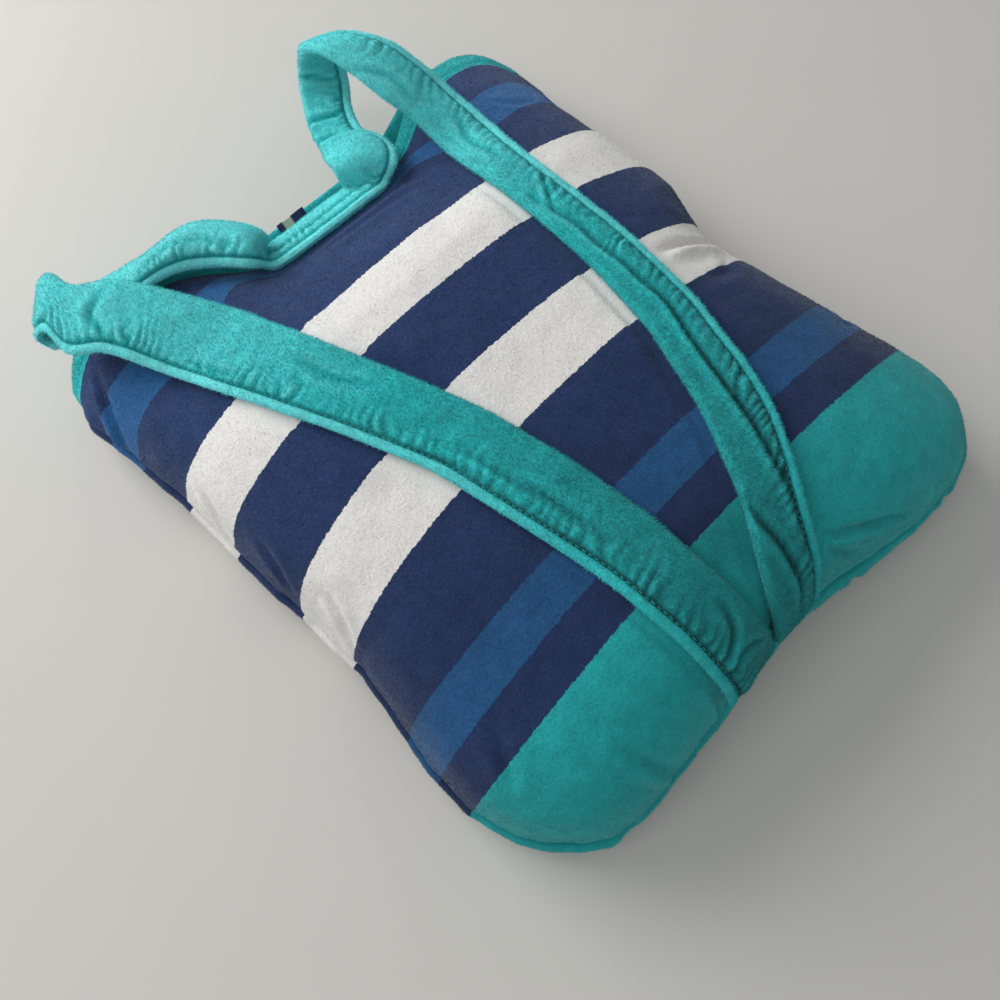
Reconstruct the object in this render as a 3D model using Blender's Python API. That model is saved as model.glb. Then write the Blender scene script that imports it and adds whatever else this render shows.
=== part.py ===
"""A beach towel packed into its own cloth rucksack, lying on a table with its straps up.

The bag is two striped velour panels sewn together along both sides and the bottom. Its mouth is
hemmed. One long edge-stitched strap runs from the bottom seam over the bag, folds over, follows
the mouth's upper edge, makes a loop and runs back to the bottom seam. The folded towel fills it.

Frame: +X runs along the stripes, +Y from the bottom seam to the mouth, +Z up. The origin is the
middle of the bounding box, on the table. Metres throughout.
"""
import math

import bpy
import numpy as np
from mathutils import Matrix

# ---- driving dimensions -------------------------------------------------------------------------
HALF_WIDTH = 0.168        # centre line to side seam
LENGTH = 0.394            # bottom seam to the mouth's edge, beside the straps
# How far each side lies to the right of the even half width, from the bottom seam to the mouth.
SIDE_PLACES = (0.000, 0.025, 0.050, 0.080, 0.110, 0.140, 0.170, 0.185, 0.200, 0.215, 0.240,
               0.275, 0.310, 0.345, 0.394)
LEFT_SIDE = (0.0105, 0.0056, 0.0016, 0.0033, 0.0075, 0.0118, 0.0108, 0.0099, 0.0089, 0.0078,
             0.0070, 0.0063, 0.0017, -0.0044, 0.0060)
RIGHT_SIDE = (0.0008, 0.0065, 0.0040, -0.0033, -0.0069, -0.0135, -0.0208, -0.0161, -0.0079,
              -0.0008, -0.0003, -0.0011, 0.0015, 0.0082, 0.0187)
END_SWELL_LEFT = 0.0077    # how far the bottom end swells past the straps' sewn ends, left of them
END_SWELL_RIGHT = 0.0191   # and right of them
END_TUCK_PLACE = 0.0018   # where those ends hold the bottom seam in
END_TUCK_WIDTH = 0.085
END_TUCK_DEPTH = 0.0063    # draw it in towards the mouth
END_TUCK_LIFT = 0.016     # and lift it

SEAM_HEIGHT = 0.020       # side and bottom seam above the table
CROWN_AT_BOTTOM = 0.078   # packed height above the seam, at the bottom end
CROWN_AT_MOUTH = 0.052    # the same at the mouth
SIDE_POWER = 2.7          # superellipse power of the packed cross-section
BOTTOM_POWER = 2.3        # the same for the rounded bottom end
BOTTOM_ROUND = 0.074      # length of that rounded end
CORNER_INSET = (0.093, 0.052)   # how far the bottom corners draw in, left and right, as a share
CORNER_REACH = 0.19       # length over which a bottom corner's rounding fades out
CORNER_POWER = 9
MOUTH_CORNER_INSET = 0.02

MOUTH_START = 0.258       # where the upper panel begins to fall towards the mouth
MOUTH_FALL_POWER = 1.5
MOUTH_DIP = 0.043         # how far the middle of the mouth's edge draws back
MOUTH_DIP_SHARE = (0.40, 0.52)   # that dip's left and right half widths, as shares of the bag's
MOUTH_CORNER_DROP = (0.0232, 0.0344)   # how far the mouth's left and right corners draw back
MOUTH_EDGE_RISE = 0.016   # upper edge above the side seam, mid mouth
MOUTH_GAP = 0.006         # opening between the two edges, mid mouth
LOWER_MOUTH_DIP = 0.024   # the lower edge draws back less, and shows behind the upper one
LOWER_LIFT_START = 0.20   # where the lower panel leaves the table, as a share of the mouth zone
FLAT_SHARE = 0.78         # part of the half width that rests flat
LOWER_END_SHARE = 0.55    # lower panel's rounding at the bottom, as a share of the upper one's
LOWER_BULGE = 0.006       # lower panel's swell outside the seam

CLOTH = 0.0024            # wall of the velour panels
SEAM_GAP = 0.0003         # clearance kept between sewn pieces
LAID_GAP = 0.0009         # clearance under a strap laid on a curved panel
STRAP_LIFT = 0.004        # a strap's rise off the panel where its free stretch begins
STRAP_LIFT_FROM = 0.262
STRAP_LIFT_TO = 0.312
HEM_THICKNESS = 0.0026
STRAP_THICKNESS = 0.0054
PACK_GAP = 0.0006         # clearance between the panels and the folded towel
TOWEL_LAYERS = 5
TOWEL_LAYER_DEPTH = 0.004
LABEL_THICKNESS = 0.0012
S_LABEL = (-0.024, -0.001)      # the label tab on the lower hem
T_LABEL = (0.968, 1.0)

T_ROUND = 0.30            # share of the along parameter spent on the rounded bottom
T_MOUTH = 0.68            # where the mouth zone begins
T_HEM = 0.955             # the panels' cloth ends here
HEM_START = 0.004         # and the hems begin this share further on,
HEM_TAPER = 0.022         # growing by this towards the mouth's corners
T_NECK = (0.918, 0.998)   # near and far edge of the strap where it is sewn along the mouth
S_NECK_LEFT = (-0.10, -0.078)   # near and far corner of that stretch's left
S_NECK_RIGHT = (0.085, 0.035)   # and right ends
S_NECK_GAP = 0.0027       # clearance to the free stretches, which go on from there
S_NECK_RUN = 0.010        # and follow the mouth this far,
NECK_RISE = 0.0015        # rising a little, before they leave it

# Laid stretch of each strap: distance from the bottom seam, middle line's x, half width.
LEFT_LAID = (
    (0.003, -0.0335, 0.0170),
    (0.020, -0.0365, 0.0173),
    (0.055, -0.0397, 0.0175),
    (0.085, -0.0407, 0.0184),
    (0.130, -0.0464, 0.0197),
    (0.172, -0.0541, 0.0193),
    (0.210, -0.0662, 0.0195),
    (0.245, -0.0792, 0.0202),
    (0.285, -0.0935, 0.0215),
    (0.318, -0.1050, 0.0220),
)
RIGHT_LAID = (
    (0.003, 0.0030, 0.0160),
    (0.020, 0.0080, 0.0168),
    (0.037, 0.0160, 0.0155),
    (0.055, 0.0270, 0.0148),
    (0.070, 0.0364, 0.0158),
    (0.085, 0.0446, 0.0168),
    (0.105, 0.0541, 0.0168),
    (0.152, 0.0700, 0.0165),
    (0.190, 0.0770, 0.0159),
    (0.228, 0.0796, 0.0154),
    (0.262, 0.0808, 0.0148),
    (0.285, 0.0832, 0.0154),
    (0.312, 0.0880, 0.0157),
)
# Free stretches, from the neck outwards: stitched edge x, y, z; plain edge x, y, z; camber.
LEFT_FREE = (
    (-0.0556, 0.336, 0.0590, -0.0335, 0.3530, 0.0495, 0.009),
    (-0.0667, 0.350, 0.0565, -0.0425, 0.3735, 0.0465, 0.012),
    (-0.0795, 0.361, 0.0550, -0.0580, 0.3860, 0.0455, 0.012),
    (-0.0934, 0.367, 0.0530, -0.081, 0.389, 0.0440, 0.009),
    (-0.1126, 0.370, 0.0500, -0.101, 0.394, 0.0430, 0.004),
    (-0.1307, 0.374, 0.0480, -0.118, 0.397, 0.0440, 0.001),
)
LEFT_FOLD_EDGES = ((-0.1560, 0.374, 0.049), (-0.1325, 0.400, 0.050))
LEFT_FOLD_RADIUS = 0.0076
LEFT_OUTER = (
    (-0.1550, 0.355, 0.0650, -0.129, 0.385, 0.0670, 0.001),
    (-0.1420, 0.342, 0.0665, -0.108, 0.365, 0.0700, 0.001),
)
RIGHT_FREE = (
    (0.0496, 0.331, 0.0600, 0.0240, 0.3560, 0.0490, 0.006),
    (0.0578, 0.343, 0.0570, 0.0245, 0.3600, 0.0520, 0.008),
    (0.0598, 0.359, 0.0520, 0.0260, 0.3670, 0.0500, 0.007),
    (0.0611, 0.375, 0.0440, 0.033, 0.382, 0.0420, 0.001),
    (0.0711, 0.397, 0.0380, 0.041, 0.402, 0.0360, -0.001),
    (0.0823, 0.412, 0.0400, 0.052, 0.422, 0.0370, 0.000),
    (0.0857, 0.418, 0.0520, 0.058, 0.429, 0.0490, 0.000),
    (0.0844, 0.413, 0.0680, 0.059, 0.426, 0.0640, 0.000),
    (0.0816, 0.402, 0.0820, 0.056, 0.416, 0.0780, 0.000),
    (0.0848, 0.388, 0.0880, 0.056, 0.401, 0.0860, 0.001),
    (0.0925, 0.374, 0.0860, 0.060, 0.379, 0.0850, 0.002),
    (0.0990, 0.359, 0.0780, 0.064, 0.355, 0.0800, 0.002),
    (0.1030, 0.345, 0.0710, 0.070, 0.338, 0.0730, 0.001),
)

# Stripes of both panels: distance from the bottom seam at which each one ends, and its colour.
TURQUOISE = (0.045, 0.52, 0.50)
NAVY = (0.022, 0.045, 0.14)
MID_BLUE = (0.05, 0.13, 0.36)
WHITE = (0.72, 0.71, 0.68)
LABEL_BLUE = (0.02, 0.03, 0.10)
STRIPES = (
    (0.059, TURQUOISE),
    (0.080, NAVY),
    (0.103, MID_BLUE),
    (0.153, NAVY),
    (0.192, WHITE),
    (0.238, NAVY),
    (0.274, WHITE),
    (0.311, NAVY),
    (0.337, MID_BLUE),
    (0.400, NAVY),
)


# ---- panel surfaces: s runs across from -1 to 1, t from the bottom seam (0) to the mouth (1) -----
def side_profile(s):
    """Share of the half width reached at s, and share of the crown height there."""
    angle = np.asarray(s) * math.pi / 2
    reach = np.sign(angle) * np.abs(np.sin(angle)) ** (2 / SIDE_POWER)
    height = np.abs(np.cos(angle)) ** (2 / SIDE_POWER)
    return reach, height


def mouth_edge(reach, dip=MOUTH_DIP):
    """Distance from the bottom seam to the mouth's edge."""
    drawn_back = dip / (1 + (np.abs(reach) / np.where(reach < 0, *MOUTH_DIP_SHARE)) ** 6)
    return LENGTH - drawn_back - np.where(reach < 0, *MOUTH_CORNER_DROP) * np.abs(reach) ** 14


def along_profile(t, reach, dip=MOUTH_DIP):
    """Distance from the bottom seam, share of the crown kept by the bottom round, mouth share."""
    t = np.asarray(t)
    angle = np.clip(t / T_ROUND, 0, 1) * math.pi / 2
    rounded = BOTTOM_ROUND * (1 - np.abs(np.cos(angle)) ** (2 / BOTTOM_POWER))
    height = np.sin(angle) ** (2 / BOTTOM_POWER)
    middle = np.clip((t - T_ROUND) / (T_MOUTH - T_ROUND), 0, 1) * (MOUTH_START - BOTTOM_ROUND)
    mouth = np.clip((t - T_MOUTH) / (1 - T_MOUTH), 0, 1)
    along = rounded + middle + mouth * (mouth_edge(reach, dip) - MOUTH_START)
    return along, height, mouth


def end_tuck(x):
    """1 where the straps' sewn ends hold the bottom seam, fading to 0 on both sides."""
    return np.exp(-((x - END_TUCK_PLACE) / END_TUCK_WIDTH) ** 2)


def plan_place(reach, along):
    """Plan position, with the corners drawn in."""
    corner = np.clip(1 - along / CORNER_REACH, 0, 1)
    mouth_corner = np.clip((along - CORNER_REACH) / (LENGTH - CORNER_REACH), 0, 1)
    drawn_in = np.where(reach < 0, *CORNER_INSET)
    inset = drawn_in * corner ** CORNER_POWER
    inset = inset + MOUTH_CORNER_INSET * mouth_corner ** CORNER_POWER
    left = np.interp(along, SIDE_PLACES, LEFT_SIDE)
    right = np.interp(along, SIDE_PLACES, RIGHT_SIDE)
    x = HALF_WIDTH * reach * (1 - inset)
    x = x + np.where(reach < 0, left, right) * reach ** 2
    y = along + drawn_in * CORNER_REACH * np.abs(reach) ** CORNER_POWER * corner ** 2
    end_swell = np.where(x < END_TUCK_PLACE, END_SWELL_LEFT, END_SWELL_RIGHT)
    y = y + (END_TUCK_DEPTH * end_tuck(x) - end_swell * (1 - end_tuck(x))) * corner ** 2
    return x, y


def seam_height(x, along):
    """Height of the side and bottom seam nearest to a point."""
    near = np.clip(1 - along / CORNER_REACH, 0, 1) ** 2
    return SEAM_HEIGHT + END_TUCK_LIFT * end_tuck(x) * near


def edge_height(reach):
    """Height of the upper panel's mouth edge."""
    return SEAM_HEIGHT + MOUTH_EDGE_RISE * (1 - np.abs(reach) ** 6)


def upper_point(s, t):
    """Outer surface of the upper panel."""
    reach, side = side_profile(s)
    along, bottom, mouth = along_profile(t, reach)
    x, y = plan_place(reach, along)
    seam = seam_height(x, along)
    crown = CROWN_AT_BOTTOM + (CROWN_AT_MOUTH - CROWN_AT_BOTTOM) * along / LENGTH
    z = seam + np.maximum(SEAM_HEIGHT + crown * side - seam, 0) * bottom
    z = z + (edge_height(reach) - z) * mouth ** MOUTH_FALL_POWER
    return np.stack(np.broadcast_arrays(x, y, z), -1)


def lower_point(s, t, bulge=1):
    """Outer surface of the lower panel, flat on the table in the middle."""
    reach, _ = side_profile(s)
    along, _, mouth = along_profile(t, reach, LOWER_MOUTH_DIP)
    x, y = plan_place(reach, along)
    side = np.clip((np.abs(reach) - FLAT_SHARE) / (1 - FLAT_SHARE), 0, 1)
    end = np.clip(1 - along / (BOTTOM_ROUND * LOWER_END_SHARE), 0, 1)
    rim = np.sqrt(1 - side ** 2) * np.sqrt(1 - end ** 2)
    seam = seam_height(x, along) - SEAM_GAP
    z = seam * (1 - rim)
    lift = np.clip((mouth - LOWER_LIFT_START) / (1 - LOWER_LIFT_START), 0, 1) ** 1.6
    gap = MOUTH_GAP * np.clip(1 - (np.abs(reach) / 0.6) ** 4, 0, 1)
    top = edge_height(reach) - gap - 2 * HEM_THICKNESS - SEAM_GAP
    z = z + np.maximum(top - z, 0) * lift * (1 - np.abs(reach) ** 20)
    swell = bulge * np.sin(math.pi * z / seam.clip(z)) * (1 - lift)
    y = y - (LOWER_BULGE + END_TUCK_DEPTH * end_tuck(x)) * swell * end
    x = x + LOWER_BULGE * swell * np.sign(reach) * side
    return np.stack(np.broadcast_arrays(x, y, z), -1)


def packed_point(s, t):
    """The lower panel without its swell outside the seam, for what is packed inside."""
    return lower_point(s, t, bulge=0)


def unit(vectors):
    return vectors / np.linalg.norm(vectors, axis=-1, keepdims=True)


def tangents(surface, s, t):
    """Steps across and along a surface function at each point."""
    step = 0.002
    across = surface((s + step).clip(-1, 1), t) - surface((s - step).clip(-1, 1), t)
    along = surface(s, (t + step).clip(0, 1)) - surface(s, (t - step).clip(0, 1))
    return across, along


def moved_grid(surface, s, t, distance):
    """A grid of points moved square to the surface, towards the inside of the bag.

    Along the seams the move is level, so that both panels' edges meet face to face.
    """
    points = surface(s, t)
    across, along = tangents(surface, s, t)
    moves = unit(np.cross(across, along)) * (1 if surface is not upper_point else -1)
    run = np.where((np.abs(s) == 1)[..., None], along, across)
    level = np.stack([run[..., 1], -run[..., 0], np.zeros(s.shape)], -1)
    towards = np.array([0, LENGTH / 2, 0]) - points
    level = unit(level * np.sign((level * towards).sum(-1, keepdims=True)))
    at_seam = (np.abs(s) == 1) | (t == 0)
    return points + np.where(at_seam[..., None], level, moves) * distance


# ---- solids -------------------------------------------------------------------------------------
def add_object(name, points, faces):
    """Make one object from points in the sewing frame: x = 0 mid width, y = 0 at the bottom seam."""
    mesh = bpy.data.meshes.new(name)
    mesh.from_pydata([tuple(p) for p in points], [], faces)
    mesh.validate()
    mesh.shade_smooth()
    mesh.set_sharp_from_angle(angle=math.radians(50))
    thing = bpy.data.objects.new(name, mesh)
    bpy.context.scene.collection.objects.link(thing)
    return thing


def shell_faces(rows, columns):
    """Faces of a closed wall between two grids, the first one's normals pointing out."""
    count = rows * columns
    faces = []
    for r in range(rows - 1):
        for c in range(columns - 1):
            a, b = r * columns + c, r * columns + c + 1
            d, e = a + columns, b + columns
            faces.append((a, b, e, d))
            faces.append((count + d, count + e, count + b, count + a))
    loop = [c for c in range(columns)]
    loop += [r * columns + columns - 1 for r in range(1, rows)]
    loop += [(rows - 1) * columns + c for c in range(columns - 2, -1, -1)]
    loop += [r * columns for r in range(rows - 2, 0, -1)]
    for a, b in zip(loop, loop[1:] + loop[:1]):
        faces.append((b, a, count + a, count + b))
    return faces


def wall(name, outside, inside, outward):
    """A closed wall between two grids of the same size."""
    rows, columns = outside.shape[:2]
    faces = shell_faces(rows, columns)
    if outward < 0:
        faces = [tuple(reversed(f)) for f in faces]
    points = np.concatenate([outside.reshape(-1, 3), inside.reshape(-1, 3)])
    return add_object(name, points, faces)


def tube(name, rings):
    """A closed solid through rings of the same number of points."""
    count, size = rings.shape[:2]
    faces = []
    for r in range(count - 1):
        for c in range(size):
            a, b = r * size + c, r * size + (c + 1) % size
            faces.append((a, b, b + size, a + size))
    faces.append(tuple(range(size - 1, -1, -1)))
    faces.append(tuple((count - 1) * size + c for c in range(size)))
    return add_object(name, rings.reshape(-1, 3), faces)


# ---- straps -------------------------------------------------------------------------------------
ACROSS = np.array([0.0, 0.1, 0.3, 0.5, 0.7, 0.9, 1.0])   # stitched edge to plain edge


def panel_parameters(x, along):
    """The panel's s and t at a plan x and a distance along it from the bottom seam."""
    reach = np.asarray(x) / HALF_WIDTH
    for _ in range(6):
        reach = reach + (x - plan_place(reach, along)[0]) / HALF_WIDTH
    s = np.sign(reach) * np.arcsin(np.abs(reach).clip(0, 1) ** (SIDE_POWER / 2)) * 2 / math.pi
    rounded = np.arccos((1 - along / BOTTOM_ROUND).clip(0, 1) ** (BOTTOM_POWER / 2))
    middle = (along - BOTTOM_ROUND) / (MOUTH_START - BOTTOM_ROUND)
    mouth = (along - MOUTH_START) / (mouth_edge(reach) - MOUTH_START)
    t = np.where(along < BOTTOM_ROUND, T_ROUND * rounded * 2 / math.pi,
                 T_ROUND + (T_MOUTH - T_ROUND) * middle)
    return s, np.where(along > MOUTH_START, T_MOUTH + (1 - T_MOUTH) * mouth, t)


def above_panel(s, t, height):
    """Points at a height above the upper panel, along its normal."""
    normals = unit(np.cross(*tangents(upper_point, s, t)))
    return upper_point(s, t) + normals * height


def laid_rows(table, stitched_side, distances):
    """Rows across a strap that lies on the upper panel, at distances from the bottom seam."""
    columns = np.array(table).T
    middle = np.interp(distances, columns[0], columns[1])
    half = np.interp(distances, columns[0], columns[2])
    slope = np.gradient(middle, distances)
    half = half * np.sqrt(1 + slope ** 2)
    rows = []
    for m, h, along in zip(middle, half, distances):
        x = m + stitched_side * h * (1 - 2 * ACROSS)
        s, t = panel_parameters(x, np.full(x.shape, along))
        lift = max(0, (along - STRAP_LIFT_FROM) / (STRAP_LIFT_TO - STRAP_LIFT_FROM)) ** 2
        rows.append(above_panel(s, t, LAID_GAP + STRAP_THICKNESS / 2 + STRAP_LIFT * lift))
    return rows


def free_row(stitched, plain, camber):
    """A straight row between a strap's two edges, bowed up by the camber."""
    share = ACROSS[:, None]
    row = np.array(stitched) * (1 - share) + np.array(plain) * share
    bow = 4 * share * (1 - share) * np.array([0, 0, camber])
    return row + bow


def free_rows(table):
    return [free_row(line[0:3], line[3:6], line[6]) for line in table]


def fold_rows():
    """The left strap's fold-over: half a turn about the line between the fold's two edges."""
    stitched, plain = (np.array(edge) for edge in LEFT_FOLD_EDGES)
    axis = (plain - stitched) / np.linalg.norm(plain - stitched)
    outward = np.cross(axis, (0, 0, -1.0))
    rows = []
    for angle in np.linspace(0, math.pi, 5):
        move = LEFT_FOLD_RADIUS * (outward * math.sin(angle)
                                   + np.array([0, 0, 1 - math.cos(angle)]))
        rows.append(free_row(stitched + move, plain + move, 0))
    return rows


def neck_row(s_ends, lift=0):
    """Row across the strap where it is sewn along the mouth, between its two edges' s."""
    s = s_ends[0] + (s_ends[1] - s_ends[0]) * ACROSS
    t = T_NECK[0] + (T_NECK[1] - T_NECK[0]) * ACROSS
    return above_panel(s, t, LAID_GAP + STRAP_THICKNESS / 2 + lift)


def smooth_rows(rows, steps):
    """Catmull-Rom curve through rows of points, with a number of steps for each stretch."""
    p = np.concatenate([[2 * rows[0] - rows[1]], rows, [2 * rows[-1] - rows[-2]]])
    out = []
    for i in range(1, len(p) - 2):
        for k in range(steps):
            u = k / steps
            out.append(0.5 * (2 * p[i] + (p[i + 1] - p[i - 1]) * u
                              + (2 * p[i - 1] - 5 * p[i] + 4 * p[i + 1] - p[i + 2]) * u ** 2
                              + (3 * p[i] - p[i - 1] - 3 * p[i + 1] + p[i + 2]) * u ** 3))
    out.append(rows[-1])
    return np.array(out)


def strap_solid(name, rows):
    """A flat stuffed tube through rows across it."""
    normals = unit(np.cross(np.gradient(rows, axis=1), np.gradient(rows, axis=0)))
    fullness = (1 - np.abs(2 * ACROSS - 1) ** 4) ** 0.5
    rise = normals * (fullness * STRAP_THICKNESS / 2)[None, :, None]
    over = rows + rise
    under = (rows - rise)[:, 1:-1][:, ::-1]
    return tube(name, np.concatenate([over, under], 1))


# ---- materials ----------------------------------------------------------------------------------
def cloth_material(name, colour):
    material = bpy.data.materials.new(name)
    material.use_nodes = True
    shader = material.node_tree.nodes["Principled BSDF"]
    shader.inputs["Base Color"].default_value = (*colour, 1)
    shader.inputs["Roughness"].default_value = 0.95
    shader.inputs["Metallic"].default_value = 0.0
    return material


def striped_material(name, seam_y):
    """Velour with its stripes laid out along Y, measured from the bottom seam."""
    material = cloth_material(name, NAVY)
    nodes, links = material.node_tree.nodes, material.node_tree.links
    place = nodes.new("ShaderNodeTexCoord")
    split = nodes.new("ShaderNodeSeparateXYZ")
    share = nodes.new("ShaderNodeMapRange")
    share.inputs["From Min"].default_value = seam_y
    share.inputs["From Max"].default_value = seam_y + STRIPES[-1][0]
    ramp = nodes.new("ShaderNodeValToRGB")
    ramp.color_ramp.interpolation = "CONSTANT"
    start = 0.0
    for end, colour in STRIPES:
        stop = ramp.color_ramp.elements.new(start) if start else ramp.color_ramp.elements[0]
        stop.color = (*colour, 1)
        start = end / STRIPES[-1][0]
    ramp.color_ramp.elements[-1].color = (*STRIPES[-1][1], 1)
    links.new(place.outputs["Object"], split.inputs[0])
    links.new(split.outputs["Y"], share.inputs["Value"])
    links.new(share.outputs["Result"], ramp.inputs["Fac"])
    links.new(ramp.outputs["Color"], material.node_tree.nodes["Principled BSDF"].inputs["Base Color"])
    return material


# ---- pieces -------------------------------------------------------------------------------------
def panel_columns():
    """The s of a panel's grid lines: even steps in plan over the middle, in angle at the sides."""
    reach = np.linspace(0, 0.84, 8)
    middle = np.arcsin(reach ** (SIDE_POWER / 2)) * 2 / math.pi
    half = np.concatenate([middle, np.linspace(middle[-1], 1, 6)[1:]])
    return np.concatenate([-half[:0:-1], half])


S_PANEL = panel_columns()
T_PANEL = np.concatenate([np.linspace(0, T_ROUND, 8)[:-1], np.linspace(T_ROUND, T_MOUTH, 9)[:-1],
                          np.linspace(T_MOUTH, T_HEM, 8)])
T_HEM_LINE = np.array([T_HEM + HEM_START, 0.985, 1.0])


def build_panels():
    for name, surface, outward in (("upper", upper_point, 1), ("lower", lower_point, -1)):
        s, t = np.meshgrid(S_PANEL, T_PANEL)
        wall(name + "_panel", surface(s, t), moved_grid(surface, s, t, CLOTH), outward)
        s, t = np.meshgrid(S_PANEL, T_HEM_LINE)
        t = t + HEM_TAPER * (1 - t) / (1 - T_HEM) * np.abs(s) ** 6
        wall(name + "_hem", surface(s, t), moved_grid(surface, s, t, HEM_THICKNESS), outward)


def build_towel():
    """The folded towel: a rounded block that fills the bag, with its layers at the mouth."""
    s, t = np.meshgrid(S_PANEL[1:-1], T_PANEL[1:-1])
    top = moved_grid(upper_point, s, t, CLOTH + PACK_GAP)
    bottom = moved_grid(packed_point, s, t, CLOTH + PACK_GAP)
    steps = TOWEL_LAYERS * 3
    share = np.linspace(0, 1, steps + 1)[1:-1, None, None]
    face = top[-1] * (1 - share) + bottom[-1] * share
    face[:, :, 1] += TOWEL_LAYER_DEPTH * np.abs(np.sin(math.pi * TOWEL_LAYERS * share[:, :, 0]))
    sheet = np.concatenate([top, face, bottom[::-1]])
    rows, columns = sheet.shape[:2]
    faces = []
    for r in range(rows):
        below = (r + 1) % rows
        for c in range(columns - 1):
            a, b = r * columns + c, r * columns + c + 1
            faces.append((a, b, below * columns + c + 1, below * columns + c))
    top_rows = len(top)
    for column, turn in ((0, 1), (columns - 1, -1)):
        for r in range(top_rows - 1):
            upper_a, upper_b = r, r + 1
            lower_a, lower_b = rows - 1 - r, rows - 2 - r
            cell = [k * columns + column for k in (upper_a, upper_b, lower_b, lower_a)]
            faces.append(tuple(cell[::turn]))
        rim = [k * columns + column for k in range(top_rows - 1, rows - top_rows + 1)]
        faces.append(tuple(rim[::turn]))
    add_object("folded_towel", sheet.reshape(-1, 3), faces)


def build_straps():
    near_seam = np.array([0.003, 0.006, 0.012, 0.022, 0.038, 0.058])
    laid = np.concatenate([near_seam, np.linspace(0.080, 0.312, 11)])
    left_end, right_end = np.array(S_NECK_LEFT), np.array(S_NECK_RIGHT)
    left = [neck_row(left_end - S_NECK_GAP),
            neck_row(left_end - S_NECK_GAP - S_NECK_RUN, NECK_RISE)]
    left += free_rows(LEFT_FREE) + fold_rows() + free_rows(LEFT_OUTER)
    left += laid_rows(LEFT_LAID, -1, laid)[::-1]
    strap_solid("strap_left", smooth_rows(left, 2))
    right = [neck_row(right_end + S_NECK_GAP),
             neck_row(right_end + S_NECK_GAP + S_NECK_RUN, NECK_RISE)]
    right += free_rows(RIGHT_FREE) + laid_rows(RIGHT_LAID, 1, laid)[::-1]
    strap_solid("strap_right", smooth_rows(right, 2))
    neck = [neck_row(left_end + (right_end - left_end) * k) for k in np.linspace(0, 1, 10)]
    strap_solid("strap_neck", np.array(neck))


def build_label():
    """A small tab that lies on the inner side of the lower hem."""
    s, t = np.meshgrid(np.linspace(*S_LABEL, 4), np.linspace(*T_LABEL, 3))
    depth = HEM_THICKNESS + LAID_GAP
    outside = moved_grid(lower_point, s, t, depth)
    inside = moved_grid(lower_point, s, t, depth + LABEL_THICKNESS)
    wall("label", outside, inside, -1)


def clear_scene():
    for thing in list(bpy.data.objects):
        bpy.data.objects.remove(thing, do_unlink=True)


def centre_on_table():
    """Move every piece so that the bounding box's middle is at x = y = 0; return the shift."""
    things = list(bpy.data.objects)
    corners = np.array([vertex.co for thing in things for vertex in thing.data.vertices])
    shift = -(corners.min(0) + corners.max(0)) / 2
    for thing in things:
        thing.data.transform(Matrix.Translation((shift[0], shift[1], 0)))
    return shift


def main():
    clear_scene()
    build_panels()
    build_towel()
    build_straps()
    build_label()
    shift = centre_on_table()
    cloths = {
        "panel": striped_material("striped_velour", float(shift[1])),
        "hem": cloth_material("hem_velour", TURQUOISE),
        "strap": cloth_material("strap_velour", TURQUOISE),
        "towel": cloth_material("towel_velour", TURQUOISE),
        "label": cloth_material("label_cloth", LABEL_BLUE),
    }
    for thing in bpy.data.objects:
        for word, material in cloths.items():
            if word in thing.name:
                thing.data.materials.append(material)


main()
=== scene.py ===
"""A beach towel packed into its own cloth rucksack, dressed over its CAD frame.

Striped velour shells with creases, sewn edges and pile, hemmed mouth, one long edge-stitched
strap, a small bare label and the folded towel inside. Lengths are metres. Shapes are worked out
in the sewing frame (x = 0 mid width, y = 0 at the bottom seam) and moved to the part's frame.
"""
import math

import bpy
import numpy as np
from mathutils import Matrix, Vector, kdtree


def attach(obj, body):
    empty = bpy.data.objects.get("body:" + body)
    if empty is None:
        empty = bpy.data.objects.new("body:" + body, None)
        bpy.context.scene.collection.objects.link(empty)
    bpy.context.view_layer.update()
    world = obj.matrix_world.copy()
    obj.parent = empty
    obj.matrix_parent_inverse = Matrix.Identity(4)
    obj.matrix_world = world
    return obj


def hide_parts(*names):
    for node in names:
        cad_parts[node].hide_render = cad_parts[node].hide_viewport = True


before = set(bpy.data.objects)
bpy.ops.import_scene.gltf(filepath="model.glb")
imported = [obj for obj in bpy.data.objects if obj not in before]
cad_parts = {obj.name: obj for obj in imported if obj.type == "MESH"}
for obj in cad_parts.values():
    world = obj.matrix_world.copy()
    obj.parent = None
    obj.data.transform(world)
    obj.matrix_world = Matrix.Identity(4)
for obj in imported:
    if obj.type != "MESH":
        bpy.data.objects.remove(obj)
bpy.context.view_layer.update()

TO_PART = np.array([-0.00306967, -0.20603453, 0.0])   # sewing frame to the part's frame
MM = 0.001

# ---- the bag's driving dimensions, as in the part ----
HALF_WIDTH = 0.168
LENGTH = 0.394
SIDE_PLACES = (0.0, 0.025, 0.05, 0.08, 0.11, 0.14, 0.17, 0.185, 0.2, 0.215, 0.24,
               0.275, 0.31, 0.345, 0.394)
LEFT_SIDE = (0.0105, 0.0056, 0.0016, 0.0033, 0.0075, 0.0118, 0.0108, 0.0099, 0.0089, 0.0078,
             0.007, 0.0063, 0.0017, -0.0044, 0.006)
RIGHT_SIDE = (0.0008, 0.0065, 0.004, -0.0033, -0.0069, -0.0135, -0.0208, -0.0161, -0.0079,
              -0.0008, -0.0003, -0.0011, 0.0015, 0.0082, 0.0187)
END_SWELL_LEFT = 0.0077
END_SWELL_RIGHT = 0.0191
END_TUCK_PLACE = 0.0018
END_TUCK_WIDTH = 0.085
END_TUCK_DEPTH = 0.0063
END_TUCK_LIFT = 0.016
SEAM_HEIGHT = 0.02
CROWN_AT_BOTTOM = 0.078
CROWN_AT_MOUTH = 0.052
SIDE_POWER = 2.7
BOTTOM_POWER = 2.3
BOTTOM_ROUND = 0.074
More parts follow.
